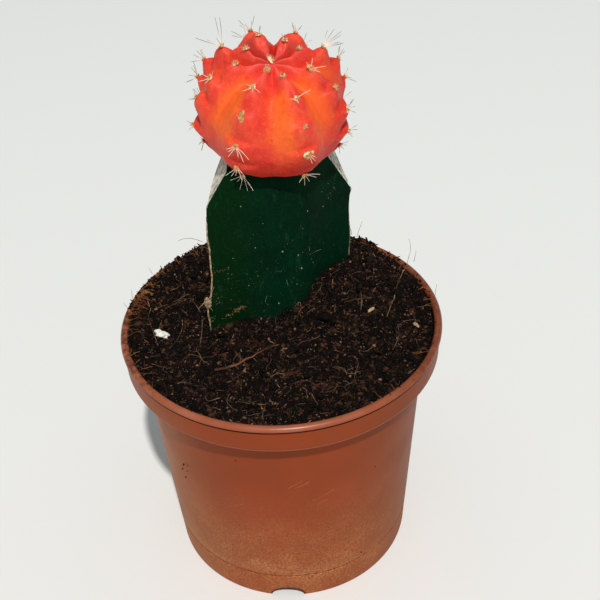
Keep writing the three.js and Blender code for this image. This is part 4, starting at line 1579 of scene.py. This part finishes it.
# Dirt, pale pores and scratches on the stem's front face. Place runs from 0 at its left rib to 1 at
# its right rib. Each pore has its place, height and radius, and each scratch its points
stemDirt = [
    # place, height, how many, spread in place and in height, largest radius
    (0.17, 80.2, 30, 0.035, 1.2, 0.36),
    (0.2, 81.0, 18, 0.03, 0.9, 0.32),
    (0.12, 79.0, 14, 0.04, 0.9, 0.3),
    (0.04, 79.6, 12, 0.03, 1.2, 0.28),
    (0.08, 94.4, 16, 0.06, 0.5, 0.2),
    (0.12, 88.0, 34, 0.1, 8.0, 0.13),
    (0.07, 86.0, 10, 0.05, 3.0, 0.18),
    (0.4, 92.0, 80, 0.36, 15.0, 0.12),
    (0.03, 98.0, 16, 0.03, 6.0, 0.14),
    (0.85, 109.0, 14, 0.06, 5.0, 0.12),
]
palePores = [
    (0.46, 98.3, 0.3), (0.56, 95.2, 0.26), (0.43, 81.2, 0.26), (0.64, 107.8, 0.22), (0.8, 105.1, 0.2),
    (0.3, 100.5, 0.16), (0.7, 88.5, 0.16), (0.25, 88.2, 0.15), (0.55, 85.4, 0.18), (0.585, 90.0, 0.32),
    (0.22, 113.4, 0.2), (0.16, 97.5, 0.15), (0.83, 112, 0.13), (0.87, 109.6, 0.14), (0.84, 106.9, 0.15),
    (0.85, 108.2, 0.12), (0.78, 110.6, 0.12), (0.6, 103, 0.13), (0.35, 108, 0.12),
]
stemScratches = [
    [(0.66, 92.6), (0.72, 91.8), (0.8, 89.9)],
    [(0.65, 95.5), (0.66, 93.8)],
    [(0.48, 88.5), (0.49, 86.3)],
    [(0.36, 84.5), (0.35, 82.4)],
]


def makeStemMarks():
    dice = random.Random(31)
    bm = bmesh.new()
    toneLayer = bm.verts.layers.float.new("tone")
    for place, height, count, placeSpread, heightSpread, largest in stemDirt:
        for _ in range(count):
            at = clamp(place + placeSpread * dice.triangular(-1, 1, 0), 0.003, 0.97)
            spot = skinPoint(height + heightSpread * dice.triangular(-1, 1, 0), at)
            radius = lerp(0.08, largest, dice.random())
            addCrumb(bm, dice, spot, radius, 1, dice.random() < 0.4, dice.random(), toneLayer)
    finishPiece("stemDirt", bm, [soilMatter("dryDirt", (96, 76, 48), (150, 122, 84))])
    bm = bmesh.new()
    for place, height, radius in palePores:
        size = Matrix.Diagonal((radius, radius * 0.5, radius, 1))
        spot = Matrix.Translation(skinPoint(height, place))
        bmesh.ops.create_icosphere(bm, subdivisions=2, radius=1.0, matrix=spot @ size)
    strands = []
    for route in stemScratches:
        points = [skinPoint(height, place) for place, height in route]
        strands.append((points, [0.06] * len(points)))
    addStrands(bm, strands, 4, 3)
    finishPiece("palePores", bm, [stoneFinish("paleMark", (86, 108, 74), (150, 160, 118), 0.4)])


def stoneFinish(name, dark, light, size):
    return dryFinish(name, dark, light, (size, 5, 0.65), (0.32, 0.66), 0.4, 0.85)


def makeGrains():
    finishes = {
        "perlite": stoneFinish("perlite", (206, 200, 188), (248, 246, 240), 0.9),
        "grit": stoneFinish("grit", (150, 118, 84), (214, 188, 150), 0.7),
    }
    for node, ((x, y), size, turn, kind) in grains.items():
        bm = bmesh.new()
        bmesh.ops.create_icosphere(bm, subdivisions=4, radius=1.0)
        lumps = [(0.6, 0.7, size[0]), (0.2, 0.25, size[0])]
        for vert in bm.verts:
            vert.co = stretch(vert.co * (1 + ripples(vert.co, lumps)), size)
        place = Matrix.Translation((x, y, groundHeight(x, y) + size[2] * 0.6 + 0.3))
        bmesh.ops.transform(bm, matrix=place @ turnBy(turn), verts=bm.verts)
        finishPiece(node.replace("_", ""), bm, [finishes[kind]], [node])


makeNamedStrands()
makePlacedFibres()
makeStemMarks()
makeGrains()
print("loose pieces made")


# Floor and light

studio = {
    "floorSize": 8.0,
    "keyFrom": (7, -48, 77),
    "keyDistance": 5.0,
    "keySize": 0.16,
    "keyPower": 206.0,
    "keyColour": (1.0, 0.965, 0.92),
    "ambient": 0.335,
    "ambientColour": (0.86, 0.97, 1.0, 1.0),
}


def makeFloor():
    material, tree, shader = startMaterial("paleFloor")
    setInputs(tree, shader, {"Base Color": (0.85, 0.85, 0.84, 1.0), "Roughness": 0.8})
    bm = bmesh.new()
    bmesh.ops.create_grid(bm, x_segments=1, y_segments=1, size=studio["floorSize"] / 2)
    mesh = bpy.data.meshes.new("floor")
    bm.to_mesh(mesh)
    bm.free()
    mesh.materials.append(material)
    addObject("floor", mesh)


def makeLights():
    data = bpy.data.lights.new("key", "AREA")
    data.shape = "DISK"
    data.size = studio["keySize"]
    data.energy = studio["keyPower"]
    data.color = studio["keyColour"]
    key = addObject("key", data)
    direction = Vector(studio["keyFrom"]).normalized()
    key.location = direction * studio["keyDistance"]
    key.rotation_mode = "QUATERNION"
    key.rotation_quaternion = direction.to_track_quat("Z", "Y")
    world = bpy.data.worlds.new("studio")
    scene.world = world
    world.use_nodes = True
    background = world.node_tree.nodes["Background"]
    background.inputs["Color"].default_value = studio["ambientColour"]
    background.inputs["Strength"].default_value = studio["ambient"]


makeFloor()
makeLights()
print("floor and lights made")
